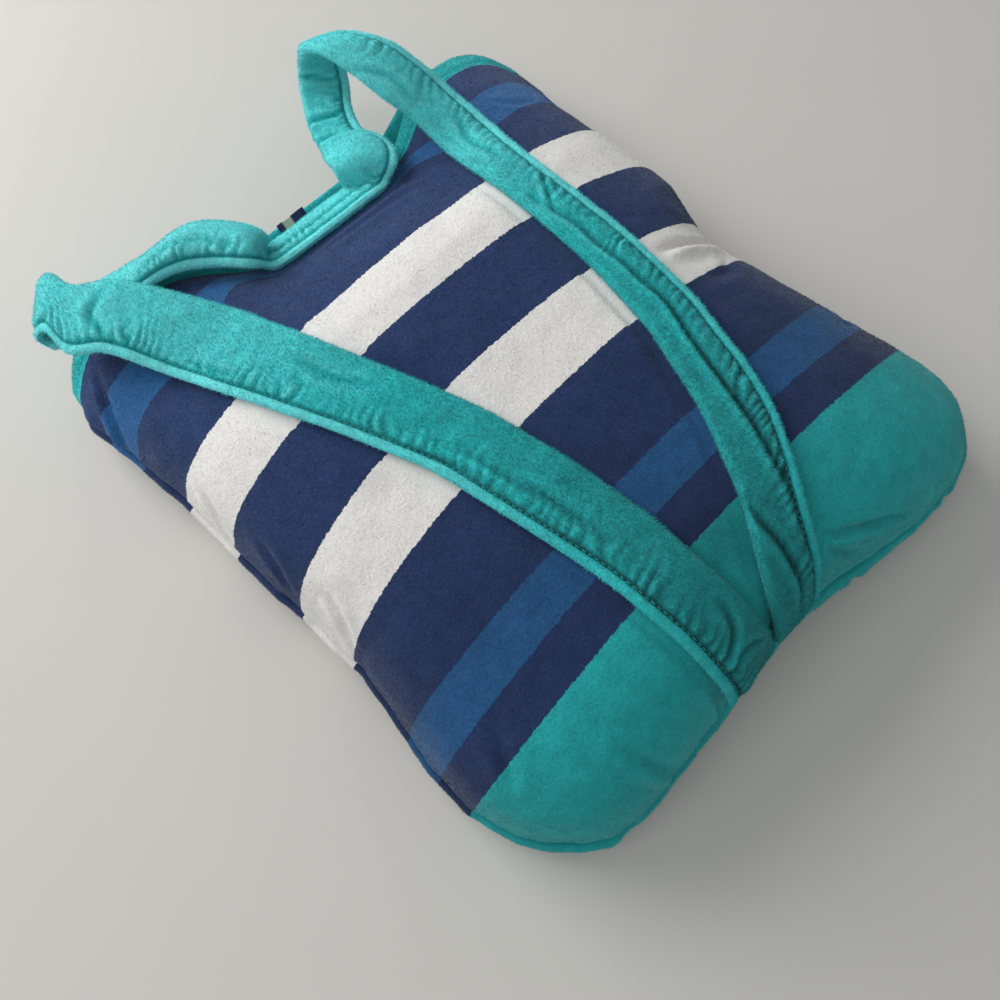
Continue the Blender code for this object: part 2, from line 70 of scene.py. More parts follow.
CORNER_INSET = (0.093, 0.052)
CORNER_REACH = 0.19
CORNER_POWER = 9
MOUTH_CORNER_INSET = 0.02
MOUTH_START = 0.258
MOUTH_FALL_POWER = 1.5
MOUTH_DIP = 0.043
MOUTH_DIP_SHARE = (0.4, 0.52)
MOUTH_DIP_POWER = 6
MOUTH_CORNER_POWER = 14
MOUTH_CORNER_DROP = (0.0232, 0.0344)
MOUTH_EDGE_RISE = 0.016
MOUTH_GAP = 0.006
LOWER_MOUTH_DIP = 0.024
LOWER_LIFT_START = 0.2
FLAT_SHARE = 0.78
LOWER_END_SHARE = 0.55
LOWER_BULGE = 0.006
CLOTH = 0.0024
LAID_GAP = 0.0004
STRAP_LIFT = 0.004
STRAP_LIFT_FROM = 0.262
STRAP_LIFT_TO = 0.312
HEM_THICKNESS = 0.0026
STRAP_THICKNESS = 0.0054
T_ROUND = 0.3
T_MOUTH = 0.68
T_HEM = 0.955
HEM_START = 0.004
HEM_TAPER = 0.022
T_NECK = (0.918, 0.998)
S_NECK_LEFT = (-0.1, -0.078)
S_NECK_RIGHT = (0.085, 0.035)
S_NECK_GAP = 0.0027
S_NECK_RUN = 0.01
NECK_RISE = 0.0015
NEARBY = 0.002                # step in s and t for a surface's slope

# The strap laid on the panel: distance from the bottom seam, middle in x, half width.
LEFT_LAID = (
    (0.003, -0.0335, 0.017),
    (0.02, -0.0365, 0.0173),
    (0.055, -0.0397, 0.0175),
    (0.085, -0.0407, 0.0184),
    (0.13, -0.0464, 0.0197),
    (0.172, -0.0541, 0.0193),
    (0.21, -0.0662, 0.0195),
    (0.245, -0.0792, 0.0202),
    (0.285, -0.0935, 0.0215),
    (0.318, -0.105, 0.022),
)
RIGHT_LAID = (
    (0.003, 0.003, 0.016),
    (0.02, 0.008, 0.0168),
    (0.037, 0.016, 0.0155),
    (0.055, 0.027, 0.0148),
    (0.07, 0.0364, 0.0158),
    (0.085, 0.0446, 0.0168),
    (0.105, 0.0541, 0.0168),
    (0.152, 0.07, 0.0165),
    (0.19, 0.077, 0.0159),
    (0.228, 0.0796, 0.0154),
    (0.262, 0.0808, 0.0148),
    (0.285, 0.0832, 0.0154),
    (0.312, 0.088, 0.0157),
)
# The strap in the air: stitched edge and plain edge in x, y and z, and how far the middle swells up.
LEFT_FREE = (
    (-0.0556, 0.336, 0.059, -0.0335, 0.353, 0.0495, 0.009),
    (-0.0667, 0.35, 0.0565, -0.0425, 0.3735, 0.0465, 0.012),
    (-0.0795, 0.361, 0.055, -0.058, 0.386, 0.0455, 0.012),
    (-0.0934, 0.367, 0.053, -0.081, 0.389, 0.044, 0.009),
    (-0.1126, 0.37, 0.05, -0.101, 0.394, 0.043, 0.004),
    (-0.1307, 0.374, 0.048, -0.118, 0.397, 0.044, 0.001),
)
LEFT_FOLD_EDGES = ((-0.156, 0.374, 0.049), (-0.1325, 0.4, 0.05))
LEFT_FOLD_RADIUS = 0.0076
LEFT_OUTER = (
    (-0.155, 0.355, 0.065, -0.129, 0.385, 0.067, 0.001),
    (-0.142, 0.342, 0.0665, -0.108, 0.365, 0.07, 0.001),
)
RIGHT_FREE = (
    (0.0496, 0.331, 0.06, 0.024, 0.356, 0.049, 0.006),
    (0.0578, 0.343, 0.057, 0.0245, 0.36, 0.052, 0.008),
    (0.0598, 0.359, 0.052, 0.026, 0.367, 0.05, 0.007),
    (0.0611, 0.375, 0.044, 0.033, 0.382, 0.042, 0.001),
    (0.0711, 0.397, 0.038, 0.041, 0.402, 0.036, -0.001),
    (0.0823, 0.412, 0.04, 0.052, 0.422, 0.037, 0.0),
    (0.0857, 0.418, 0.052, 0.058, 0.429, 0.049, 0.0),
    (0.0844, 0.413, 0.068, 0.059, 0.426, 0.064, 0.0),
    (0.0816, 0.402, 0.082, 0.056, 0.416, 0.078, 0.0),
    (0.0848, 0.388, 0.088, 0.056, 0.401, 0.086, 0.001),
    (0.0925, 0.374, 0.086, 0.06, 0.379, 0.085, 0.002),
    (0.099, 0.359, 0.078, 0.064, 0.355, 0.08, 0.002),
    (0.103, 0.345, 0.071, 0.07, 0.338, 0.073, 0.001),
)


def linear(red, green, blue):
    """A colour given by its display values (0 to 255), as the shader wants it."""
    share = np.array([red, green, blue]) / 255
    return tuple(float(v) for v in np.where(share > 0.04045, ((share + 0.055) / 1.055) ** 2.4, share / 12.92))


# ---- colours and how the cloth was cut ----
TURQUOISE = linear(40, 186, 188)
NAVY = linear(40, 60, 104)
MID_BLUE = linear(44, 98, 152)
WHITE = linear(230, 228, 224)
LABEL_BLUE = linear(30, 38, 82)
LABEL_REVERSE = linear(214, 210, 178)
LABEL_REVERSE_LIGHT = (0.78, 0.76, 0.62)
THREAD = linear(30, 140, 140)
# Stripes: distance from the bottom seam at which each ends, and its colour; then the hem.
STRIPES = (
    (0.0592, TURQUOISE), (0.0798, NAVY), (0.1032, MID_BLUE), (0.1532, NAVY), (0.1919, WHITE),
    (0.2378, NAVY), (0.2738, WHITE), (0.3108, NAVY), (0.3368, MID_BLUE), (0.3668, NAVY),
    (0.39, TURQUOISE),
)
# Each stripe end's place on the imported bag: cut distance, then plan distance a + b u + c u^2 with
# u = x over STRIPE_HALF. Past the last one the ends follow the mouth's edge, at a t of their own.
STRIPE_HALF = 0.15
STRIPE_ENDS = (
    (0.0592, 0.0633, 0.0001, -0.0078), (0.0798, 0.0839, 0.0, -0.0079),
    (0.1032, 0.1068, 0.0002, -0.0058), (0.1532, 0.1598, 0.0013, -0.0121),
    (0.1919, 0.2001, -0.0006, -0.0156), (0.2378, 0.2434, -0.0002, -0.0116),
    (0.2738, 0.2804, 0.0021, -0.0077),
)
# Near the mouth: cut distance, and t at the sides and in the middle.
MOUTH_ENDS = ((0.3108, 0.81, 0.915), (0.3368, 0.88, 0.95), (0.3668, 0.957, 0.962))
MID_MOUTH = (0.055, 0.1)    # x at which the sides' t begins to give way to the middle's
CUT_FULL = 0.39


# ---- panel surfaces: s runs across from -1 to 1, t from the bottom seam (0) to the mouth (1) -----
def side_profile(s):
    angle = np.asarray(s) * math.pi / 2
    reach = np.sign(angle) * np.abs(np.sin(angle)) ** (2 / SIDE_POWER)
    height = np.abs(np.cos(angle)) ** (2 / SIDE_POWER)
    return reach, height


def mouth_edge(reach, dip=MOUTH_DIP):
    drawn_back = dip / (1 + (np.abs(reach) / np.where(reach < 0, *MOUTH_DIP_SHARE)) ** MOUTH_DIP_POWER)
    return LENGTH - drawn_back - np.where(reach < 0, *MOUTH_CORNER_DROP) * np.abs(reach) ** MOUTH_CORNER_POWER


def along_profile(t, reach, dip=MOUTH_DIP):
    t = np.asarray(t)
    angle = np.clip(t / T_ROUND, 0, 1) * math.pi / 2
    rounded = BOTTOM_ROUND * (1 - np.abs(np.cos(angle)) ** (2 / BOTTOM_POWER))
    height = np.sin(angle) ** (2 / BOTTOM_POWER)
    middle = np.clip((t - T_ROUND) / (T_MOUTH - T_ROUND), 0, 1) * (MOUTH_START - BOTTOM_ROUND)
    mouth = np.clip((t - T_MOUTH) / (1 - T_MOUTH), 0, 1)
    along = rounded + middle + mouth * (mouth_edge(reach, dip) - MOUTH_START)
    return along, height, mouth


def bell(distance, reach):
    return np.exp(-(distance / reach) ** 2)


def end_tuck(x):
    return bell(x - END_TUCK_PLACE, END_TUCK_WIDTH)


def plan_place(reach, along):
    corner = np.clip(1 - along / CORNER_REACH, 0, 1)
    mouth_corner = np.clip((along - CORNER_REACH) / (LENGTH - CORNER_REACH), 0, 1)
    drawn_in = np.where(reach < 0, *CORNER_INSET)
    inset = drawn_in * corner ** CORNER_POWER
    inset = inset + MOUTH_CORNER_INSET * mouth_corner ** CORNER_POWER
    left = np.interp(along, SIDE_PLACES, LEFT_SIDE)
    right = np.interp(along, SIDE_PLACES, RIGHT_SIDE)
    x = HALF_WIDTH * reach * (1 - inset)
    x = x + np.where(reach < 0, left, right) * reach ** 2
    y = along + drawn_in * CORNER_REACH * np.abs(reach) ** CORNER_POWER * corner ** 2
    end_swell = np.where(x < END_TUCK_PLACE, END_SWELL_LEFT, END_SWELL_RIGHT)
    y = y + (END_TUCK_DEPTH * end_tuck(x) - end_swell * (1 - end_tuck(x))) * corner ** 2
    return x, y


def seam_height(x, along):
    near = np.clip(1 - along / CORNER_REACH, 0, 1) ** 2
    return SEAM_HEIGHT + END_TUCK_LIFT * end_tuck(x) * near


def edge_height(reach):
    return SEAM_HEIGHT + MOUTH_EDGE_RISE * (1 - np.abs(reach) ** 6)


def upper_point(s, t):
    reach, side = side_profile(s)
    along, bottom, mouth = along_profile(t, reach)
    x, y = plan_place(reach, along)
    seam = seam_height(x, along)
    crown = CROWN_AT_BOTTOM + (CROWN_AT_MOUTH - CROWN_AT_BOTTOM) * along / LENGTH
    z = seam + np.maximum(SEAM_HEIGHT + crown * side - seam, 0) * bottom
    z = z + (edge_height(reach) - z) * mouth ** MOUTH_FALL_POWER
    return np.stack(np.broadcast_arrays(x, y, z), -1)


def lower_point(s, t, bulge=1):
    reach, _ = side_profile(s)
    along, _, mouth = along_profile(t, reach, LOWER_MOUTH_DIP)
    x, y = plan_place(reach, along)
    side = np.clip((np.abs(reach) - FLAT_SHARE) / (1 - FLAT_SHARE), 0, 1)
    end = np.clip(1 - along / (BOTTOM_ROUND * LOWER_END_SHARE), 0, 1)
    rim = np.sqrt(1 - side ** 2) * np.sqrt(1 - end ** 2)
    seam = seam_height(x, along)
    z = seam * (1 - rim)
    lift = np.clip((mouth - LOWER_LIFT_START) / (1 - LOWER_LIFT_START), 0, 1) ** 1.6
    gap = MOUTH_GAP * np.clip(1 - (np.abs(reach) / 0.6) ** 4, 0, 1)
    top = edge_height(reach) - gap - 2 * HEM_THICKNESS
    z = z + np.maximum(top - z, 0) * lift * (1 - np.abs(reach) ** 20)
    swell = bulge * np.sin(math.pi * z / seam.clip(z)) * (1 - lift)
    y = y - (LOWER_BULGE + END_TUCK_DEPTH * end_tuck(x)) * swell * end
    x = x + LOWER_BULGE * swell * np.sign(reach) * side
    return np.stack(np.broadcast_arrays(x, y, z), -1)


def packed_point(s, t):
    return lower_point(s, t, bulge=0)


def unit(vectors):
    return vectors / np.maximum(np.linalg.norm(vectors, axis=-1, keepdims=True), 1e-12)


def outward(surface, s, t):
    """Unit normals of a panel surface, away from the inside of the bag."""
    across = surface((s + NEARBY).clip(-1, 1), t) - surface((s - NEARBY).clip(-1, 1), t)
    along = surface(s, (t + NEARBY).clip(0, 1)) - surface(s, (t - NEARBY).clip(0, 1))
    return unit(np.cross(across, along)) * (1 if surface is upper_point else -1)


def smooth_step(value, low, high):
    share = np.clip((value - low) / (high - low), 0, 1)
    return share * share * (3 - 2 * share)


LATTICE = 32                  # cells of the noise before it repeats
LATTICE_OFFSET = 300.37       # keeps every place positive and off the lattice's own planes


def lattice_noise(points, size, seed):
    """Smooth noise from -1 to 1 at points, its grain about as large as size."""
    table = np.random.default_rng(seed).uniform(-1, 1, (LATTICE, LATTICE, LATTICE))
    place = np.asarray(points) / size + LATTICE_OFFSET
    cell = np.floor(place).astype(int)
    part = place - cell
    part = part * part * (3 - 2 * part)
    total = 0
    for corner in np.ndindex(2, 2, 2):
        weight = np.where(corner, part, 1 - part).prod(-1)
        total = total + weight * table[tuple(np.moveaxis((cell + corner) % LATTICE, -1, 0))]
    return total


def waves(points, *layers):
    """Noise added up from layers of (height, grain size, seed)."""
    return sum(height * lattice_noise(points, size, seed) for height, size, seed in layers)


def stripe_end(line, u):
    return line[0] + line[1] * u + line[2] * u ** 2


def cut_place(x, y):
    """Distance from the bottom seam on the cut cloth, from a plan place: the stripes bow a little."""
    u = x / STRIPE_HALF
    out = y + STRIPE_ENDS[0][0] - stripe_end(STRIPE_ENDS[0][1:], u)
    for (cut_a, *line_a), (cut_b, *line_b) in zip(STRIPE_ENDS, STRIPE_ENDS[1:]):
        start, end = stripe_end(line_a, u), stripe_end(line_b, u)
        share = (y - start) / (end - start)
        out = np.where(share > 0, cut_a + (cut_b - cut_a) * share, out)
    return out


CURVE_STEPS = 16              # places worked out between two points of a curve


def run_along(line):
    """How far each point of a line is from its first one, along it."""
    return np.concatenate([[0], np.cumsum(np.linalg.norm(np.diff(line, axis=0), axis=1))])


def curve_through(points, count):
    """Points evenly spaced along a smooth curve through the given ones."""
    p = np.asarray(points, float)
    if len(p) > 2:
        ends = np.concatenate([[2 * p[0] - p[1]], p, [2 * p[-1] - p[-2]]])
        dense = [catmull(ends[i - 1:i + 3], k / CURVE_STEPS) for i in range(1, len(ends) - 2)
                 for k in range(CURVE_STEPS)]
        p = np.array(dense + [p[-1]])
    length = run_along(p)
    where = np.linspace(0, length[-1], count)
    return np.stack([np.interp(where, length, p[:, k]) for k in range(p.shape[1])], 1)


def catmull(p, u):
    return 0.5 * (2 * p[1] + (p[2] - p[0]) * u + (2 * p[0] - 5 * p[1] + 4 * p[2] - p[3]) * u ** 2
                  + (3 * p[1] - p[0] - 3 * p[2] + p[3]) * u ** 3)


def from_line(points, line):
    """Distance of each point from a line of points, its share along, and the nearest place on it."""
    best = np.full(len(points), 1e9)
    share = np.zeros(len(points))
    foot = np.zeros(points.shape)
    for i in range(len(line) - 1):
        run = line[i + 1] - line[i]
        k = ((points - line[i]) @ run / max(run @ run, 1e-12)).clip(0, 1)
        place = line[i] + k[:, None] * run
        gap = np.linalg.norm(points - place, axis=1)
        nearer = gap < best
        best = np.where(nearer, gap, best)
        share = np.where(nearer, (i + k) / (len(line) - 1), share)
        foot[nearer] = place[nearer]
    return best, share, foot


# Painted light and shade: the panels and the strap are painted darker towards the bottom end and lighter
# towards the mouth;
# plan distances from the bottom seam, and how much lighter the panels and the strap look there (1 is full).
PAINTED_LIGHT_PLACES = (-0.02, 0.02, 0.06, 0.1, 0.2, 0.3, 0.42)
PANEL_PAINTED_LIGHT = (-0.16, -0.24, -0.34, -0.38, -0.18, -0.08, 0.04)
LOOP_LEG = (0.738, 0.03)     # the right loop's shaded leg: place along the strap, and reach
BETWEEN_STRAPS = (-0.006, 0.055, 0.022)      # painted shade in the hollow between the strap ends: plan place, reach
STRAP_PAINTED_LIGHT = (-0.44, -0.44, -0.44, -0.38, -0.06, 0.24, 0.52)


def painted_light_along(points, tones):
    return np.interp(points[..., 1], PAINTED_LIGHT_PLACES, tones)


# ---- meshes ----
def make_piece(name, points, face_sets, material, values=None, smooth=True):
    """One object in the part's frame, its faces turned so that the closed mesh's volume is positive."""
    points = np.asarray(points, float).reshape(-1, 3) + TO_PART
    face_sets = [np.asarray(faces, int) for faces in face_sets]
    loops = np.concatenate([faces.ravel() for faces in face_sets])
    sizes = np.concatenate([np.full(len(faces), faces.shape[1]) for faces in face_sets])
    mesh = bpy.data.meshes.new(name)
    mesh.vertices.add(len(points))
    mesh.vertices.foreach_set("co", points.ravel())
    mesh.loops.add(len(loops))
    mesh.loops.foreach_set("vertex_index", loops)
    mesh.polygons.add(len(sizes))
    mesh.polygons.foreach_set("loop_start", np.concatenate([[0], np.cumsum(sizes)[:-1]]))
    mesh.update(calc_edges=True)
    mesh.validate()
    if smooth:
        mesh.shade_smooth()
    for key, numbers in (values or {}).items():
        data = mesh.attributes.new(key, "FLOAT", "POINT")
        data.data.foreach_set("value", np.asarray(numbers, float).ravel())
    thing = bpy.data.objects.new(name, mesh)
    bpy.context.scene.collection.objects.link(thing)
    mesh.materials.append(material)
    return thing


def net_faces(rows, columns, start=0, flip=False, closed=False):
    """Quads between rows of points; closed joins each row's end to its start."""
    r, c = np.meshgrid(np.arange(rows - 1), np.arange(columns if closed else columns - 1), indexing="ij")
    a = (r * columns + c).ravel() + start
    b = (r * columns + (c + 1) % columns).ravel() + start
    faces = np.stack([a, b, b + columns, a + columns], 1)
    return faces[:, ::-1] if flip else faces


def tube_faces(count, size, start=0, flip=False):
    """Faces of a tube of count rings, and its two ends."""
    first = np.arange(size)[None, ::-1] + start
    last = np.arange(size)[None, :] + (count - 1) * size + start
    ends = np.concatenate([first, last])
    return [net_faces(count, size, start, flip, closed=True), ends[:, ::-1] if flip else ends]


def grid_normals(points):
    return unit(np.cross(np.gradient(points, axis=1), np.gradient(points, axis=0)))


SWIRL = 0.018                 # grain of the brushed swirls in the pile
BLADE_TALL = (0.5, 1.25)      # least and greatest share of the pile's length
BLADE_HALF = (0.09, 0.19)     # half width at the root, mm
BLADE_SUNK = 0.25             # depth of the root under the cloth, mm
BLADE_UP, BLADE_OVER = 0.8, 0.55      # how far a tip stands up and falls over, as shares of the length
SWIRL_WEIGHT, STRAY = 0.9, 0.55       # how much the swirls and each blade's own chance turn its fall


def pile(name, points, normals, values, count, length, lean, seed, material, keep=None):
    """Single blades of pile scattered over a grid of points: one small triangle each."""
    chance = np.random.default_rng(seed)
    rows, columns = points.shape[:2]
    side_a = np.linalg.norm(np.diff(points, axis=0)[:, :-1], axis=-1)
    side_b = np.linalg.norm(np.diff(points, axis=1)[:-1], axis=-1)
    area = (side_a * side_b).ravel()
    if keep is not None:
        area = area * keep[:-1, :-1].ravel()
    cell = chance.choice(area.size, count, p=area / area.sum())
    r, c = np.unravel_index(cell, (rows - 1, columns - 1))
    u, v = chance.random((2, count))

    def blend(field):
        extra = (1,) * (field.ndim - 2)
        a, b = u.reshape(-1, *extra), v.reshape(-1, *extra)
        return (field[r, c] * (1 - a) * (1 - b) + field[r + 1, c] * a * (1 - b)
                + field[r, c + 1] * (1 - a) * b + field[r + 1, c + 1] * a * b)

    root, up = blend(points), unit(blend(normals))
    swirl = np.stack([lattice_noise(root, SWIRL, seed + 1 + k) for k in range(3)], 1)
    fall = swirl * SWIRL_WEIGHT + np.array(lean) + chance.normal(0, STRAY, (count, 3))
    fall = fall - up * (fall * up).sum(1, keepdims=True)
    tip = root + (up * BLADE_UP + fall * BLADE_OVER) * length * chance.uniform(*BLADE_TALL, (count, 1))
    side = unit(np.cross(up, chance.normal(0, 1, (count, 3)))) * chance.uniform(*BLADE_HALF, (count, 1)) * MM
    sunk = root - up * BLADE_SUNK * MM
    corners = np.stack([sunk - side, sunk + side, tip], 1).reshape(-1, 3)
    numbers = {key: np.repeat(blend(field), 3) for key, field in values.items()}
    # each blade's own random tone, plus painted shade at its root and painted light at its tip
    numbers["tone_and_root_shade"] = np.repeat(chance.uniform(-1, 1, count), 3) + np.tile([-0.5, -0.5, 0.6], count)
    return make_piece(name, corners, [np.arange(count * 3).reshape(-1, 3)], material, numbers, smooth=False)


# ---- materials ----
class Shader:
    """Small helper to lay out one material's nodes."""

    def __init__(self, name):
        self.material = bpy.data.materials.new(name)
        self.material.use_nodes = True
        self.tree = self.material.node_tree
        self.place = self.node("ShaderNodeTexCoord", {}).outputs["Object"]

    def fill(self, node, inputs):
        """Give a node's inputs: numbers, colours or other nodes' outputs."""
        for key, value in inputs.items():
            if isinstance(value, bpy.types.NodeSocket):
                self.tree.links.new(value, node.inputs[key])
            elif value is not None:
                node.inputs[key].default_value = (*value, 1) if isinstance(value, tuple) else value

    def node(self, kind, inputs, **settings):
        made = self.tree.nodes.new(kind)
        for key, value in settings.items():
            setattr(made, key, value)
        self.fill(made, inputs)
        return made

    def noise(self, scale, detail=2.0, rough=0.5):
        return self.node("ShaderNodeTexNoise", {"Scale": scale, "Detail": detail, "Roughness": rough,
                                                "Vector": self.place}).outputs["Fac"]

    def math(self, kind, *values):
        return self.node("ShaderNodeMath", dict(enumerate(values)), operation=kind).outputs[0]

    def value(self, name):
        return self.node("ShaderNodeAttribute", {}, attribute_name=name).outputs["Fac"]

    def mix(self, share, a, b, kind="MIX"):
        inputs = {0: share, 6: a, 7: b}
        return self.node("ShaderNodeMix", inputs, data_type="RGBA", blend_type=kind).outputs[2]

    def number_mix(self, share, a, b):
        return self.node("ShaderNodeMix", {0: share, 2: a, 3: b}).outputs[0]

    def colour(self, red, green, blue):
        return self.node("ShaderNodeCombineColor", {0: red, 1: green, 2: blue}).outputs[0]

    def ramp(self, share, stops, hard=False):
        node = self.node("ShaderNodeValToRGB", {"Fac": share})
        node.color_ramp.interpolation = "CONSTANT" if hard else "LINEAR"
        for i, (where, colour) in enumerate(stops):
            if i < 2:
                stop = node.color_ramp.elements[i]
                stop.position = where
            else:
                stop = node.color_ramp.elements.new(where)
            stop.color = (*colour, 1)
        return node.outputs["Color"]

    def bump(self, height, distance, strength, under=None):
        return self.node("ShaderNodeBump", {"Distance": distance, "Strength": strength, "Height": height,
                                            "Normal": under}).outputs["Normal"]

    def finish(self, **inputs):
        """Give the main shader's inputs, named as its sockets with _ for a blank."""
        self.fill(self.tree.nodes["Principled BSDF"], {key.replace("_", " "): v for key, v in inputs.items()})
        return self.material


BLACK, FULL = (0, 0, 0), (1, 1, 1)
# Brushed patches, tufts, flecks and fibres: noise scale and detail, and weight in the cloth's tone.
GRAINS = ((24, 3, 0.2), (120, 3, 0.34), (750, 2, 0.34), (2400, 2, 0.3))
GRAIN_ROUGH = 0.6
GRAIN_BUMPS = ((0.0022, 0.45), (0.0009, 0.75), (0.0004, 0.8))     # height and strength, from the patches on
STRIPE_JAGS = ((520, 2, 0.002), (1900, 1, 0.0011))               # scale, detail, reach at a stripe's end
WHITE_FROM = 0.25             # red share above which a stripe counts as white
WHITE_TONE = (0.3, 0.7)     # white shows this much of the tone, and the rest stays even
TONE_AND_ROOT_SHADE_WEIGHT = 0.1
GLINT = (1300, 2, 0.7)        # scale, detail and roughness of the painted glint specks: painted highlights on fibre ends
GLINT_STOPS = (0.6, 0.76)
GLINT_PALE = (0.75, 0.78, 0.78)
PALE_SHARE = 0.55
GLINT_BY_PAINTED_LIGHT = 1.8               # how much more painted glint shows where the painted light is lighter
LEAST_GLINT = 0.04
PALE_BY_PAINTED_LIGHT = 0.55               # how far the painted light itself goes towards the glint's pale colour: a painted highlight


def velour(name, colour, light, sheen, blade=False, depth=1.0, mottle=1.5):
    """Short-pile velour: brushed patches, fibre flecks, painted glints, painted light and shade, and a soft
    rim. Without a colour it is striped.
    """
    make = Shader(name)
    if colour is None:
        cut = make.value("cut")
        for scale, detail, reach in STRIPE_JAGS:
            cut = make.math("MULTIPLY_ADD", make.math("SUBTRACT", make.noise(scale, detail), 0.5), reach, cut)
        ends = [0.0] + [end / CUT_FULL for end, _ in STRIPES[:-1]]
        stops = [(start, stripe) for start, (_, stripe) in zip(ends, STRIPES)]
        base = make.ramp(make.math("DIVIDE", cut, CUT_FULL), stops, hard=True)
    else:
        base = make.mix(0.0, colour, colour)
    grains = [make.noise(scale, detail, GRAIN_ROUGH) for scale, detail, _ in GRAINS]
    tone = 1.0
    for grain, (_, _, weight) in zip(grains, GRAINS):
        even = make.math("SUBTRACT", tone, weight * mottle / 2)
        tone = make.math("MULTIPLY_ADD", grain, weight * mottle, even)
    # painted light and shade, from each piece's shade value
    painted_light = make.value("shade")
    tone = make.math("MULTIPLY", tone, make.math("ADD", painted_light, 1.0))
    if colour is None:
        red = make.node("ShaderNodeSeparateColor", {0: base}).outputs[0]
        white = make.ramp(make.math("SUBTRACT", red, WHITE_FROM), [(0.0, BLACK), (0.3, FULL)])
        tone = make.number_mix(white, tone, make.math("MULTIPLY_ADD", tone, *WHITE_TONE))
    # blades: their own random tone, and painted shade darker at the root and lighter at the tip
    if blade:
        tone = make.math("MULTIPLY_ADD", make.value("tone_and_root_shade"), TONE_AND_ROOT_SHADE_WEIGHT, tone)
    shade = make.mix(1.0, base, make.colour(tone, tone, tone), "MULTIPLY")
    # painted highlights: pale glint specks, stronger where the painted light is lighter, and the painted
    # light itself paling the colour
    glint = make.ramp(make.noise(*GLINT), list(zip(GLINT_STOPS, (BLACK, FULL))))
    pale = make.mix(PALE_SHARE, shade, GLINT_PALE)
    veil = make.math("MULTIPLY", light, make.math("MULTIPLY_ADD", painted_light, GLINT_BY_PAINTED_LIGHT, 1.0))
    shade = make.mix(make.math("MULTIPLY", glint, make.math("MAXIMUM", veil, LEAST_GLINT)), shade, pale)
    shade = make.mix(make.math("MULTIPLY", make.math("MAXIMUM", painted_light, 0.0), PALE_BY_PAINTED_LIGHT), shade, pale)
    normal = None
    if not blade:
        for grain, (height, strength) in zip(grains[1:], GRAIN_BUMPS):
            normal = make.bump(grain, height * depth, strength, normal)
    return make.finish(Base_Color=shade, Normal=normal, Roughness=0.92, Specular_IOR_Level=0.18,
                       Sheen_Weight=sheen, Sheen_Roughness=0.45, Sheen_Tint=(0.85, 0.95, 0.97))


def table_top():
    make = Shader("table_top")
    tone = make.math("MULTIPLY_ADD", make.noise(9, 3), 0.03, 0.6)
    tone = make.math("MULTIPLY_ADD", make.noise(2600, 2), 0.012, tone)
    warm = make.colour(tone, make.math("MULTIPLY", tone, 0.978), make.math("MULTIPLY", tone, 0.915))
    return make.finish(Base_Color=warm, Roughness=0.55, Specular_IOR_Level=0.25)


def thread_cloth():
    make = Shader("sewing_thread")
    tone = make.ramp(make.noise(3000, 1), [(0.3, THREAD), (0.7, TURQUOISE)])
    return make.finish(Base_Color=tone, Roughness=0.7)


def label_cloth():
    """Woven tape: navy face and pale reverse, told apart by the piece's own value."""
    make = Shader("label_tape")
    grain = make.noise(1500, 2)
    face = make.ramp(grain, [(0.3, LABEL_BLUE), (0.8, tuple(1.5 * v for v in LABEL_BLUE))])
    back = make.ramp(grain, [(0.3, LABEL_REVERSE), (0.8, LABEL_REVERSE_LIGHT)])
    weave = make.node("ShaderNodeTexWave", {"Scale": 420, "Vector": make.place}).outputs["Fac"]
    return make.finish(Base_Color=make.mix(make.value("reverse"), face, back), Roughness=0.6,
                       Normal=make.bump(weave, 0.0001, 0.6))


# ---- strap ----
ACROSS = np.linspace(0, 1, 25)        # stitched edge to plain edge
STRAP_STEP = 0.0011
STEPS_BETWEEN = 24                    # rows worked out between two given ones
FLANGE = 0.0058                       # stitched edge to stitch line
SEAM_DISTANCES = np.concatenate([[0.003, 0.006, 0.012, 0.022, 0.038, 0.058],
                                 np.linspace(0.08, 0.312, 11)])


def panel_parameters(x, along):
    reach = np.asarray(x) / HALF_WIDTH
    for _ in range(6):
        reach = reach + (x - plan_place(reach, along)[0]) / HALF_WIDTH
    s = np.sign(reach) * np.arcsin(np.abs(reach).clip(0, 1) ** (SIDE_POWER / 2)) * 2 / math.pi
    rounded = np.arccos((1 - along / BOTTOM_ROUND).clip(0, 1) ** (BOTTOM_POWER / 2))
    middle = (along - BOTTOM_ROUND) / (MOUTH_START - BOTTOM_ROUND)
    mouth = (along - MOUTH_START) / (mouth_edge(reach) - MOUTH_START)
    t = np.where(along < BOTTOM_ROUND, T_ROUND * rounded * 2 / math.pi,
                 T_ROUND + (T_MOUTH - T_ROUND) * middle)
    return s, np.where(along > MOUTH_START, T_MOUTH + (1 - T_MOUTH) * mouth, t)


def above_panel(s, t, height):
    return upper_point(s, t) + outward(upper_point, s, t) * height


def laid_rows(table, stitched_side):
    columns = np.array(table).T
    middle = np.interp(SEAM_DISTANCES, columns[0], columns[1])
    slope = np.gradient(middle, SEAM_DISTANCES)
    half = np.interp(SEAM_DISTANCES, columns[0], columns[2]) * np.sqrt(1 + slope ** 2)
    rows = []
    for m, h, along in zip(middle, half, SEAM_DISTANCES):
        x = m + stitched_side * h * (1 - 2 * ACROSS)
        s, t = panel_parameters(x, np.full(x.shape, along))
        lift = max(0, (along - STRAP_LIFT_FROM) / (STRAP_LIFT_TO - STRAP_LIFT_FROM)) ** 2
        rows.append(above_panel(s, t, LAID_GAP + STRAP_THICKNESS / 2 + STRAP_LIFT * lift))
    return rows


def free_row(stitched, plain, camber):
    share = ACROSS[:, None]
    row = np.array(stitched) * (1 - share) + np.array(plain) * share
    return row + 4 * share * (1 - share) * np.array([0, 0, camber])


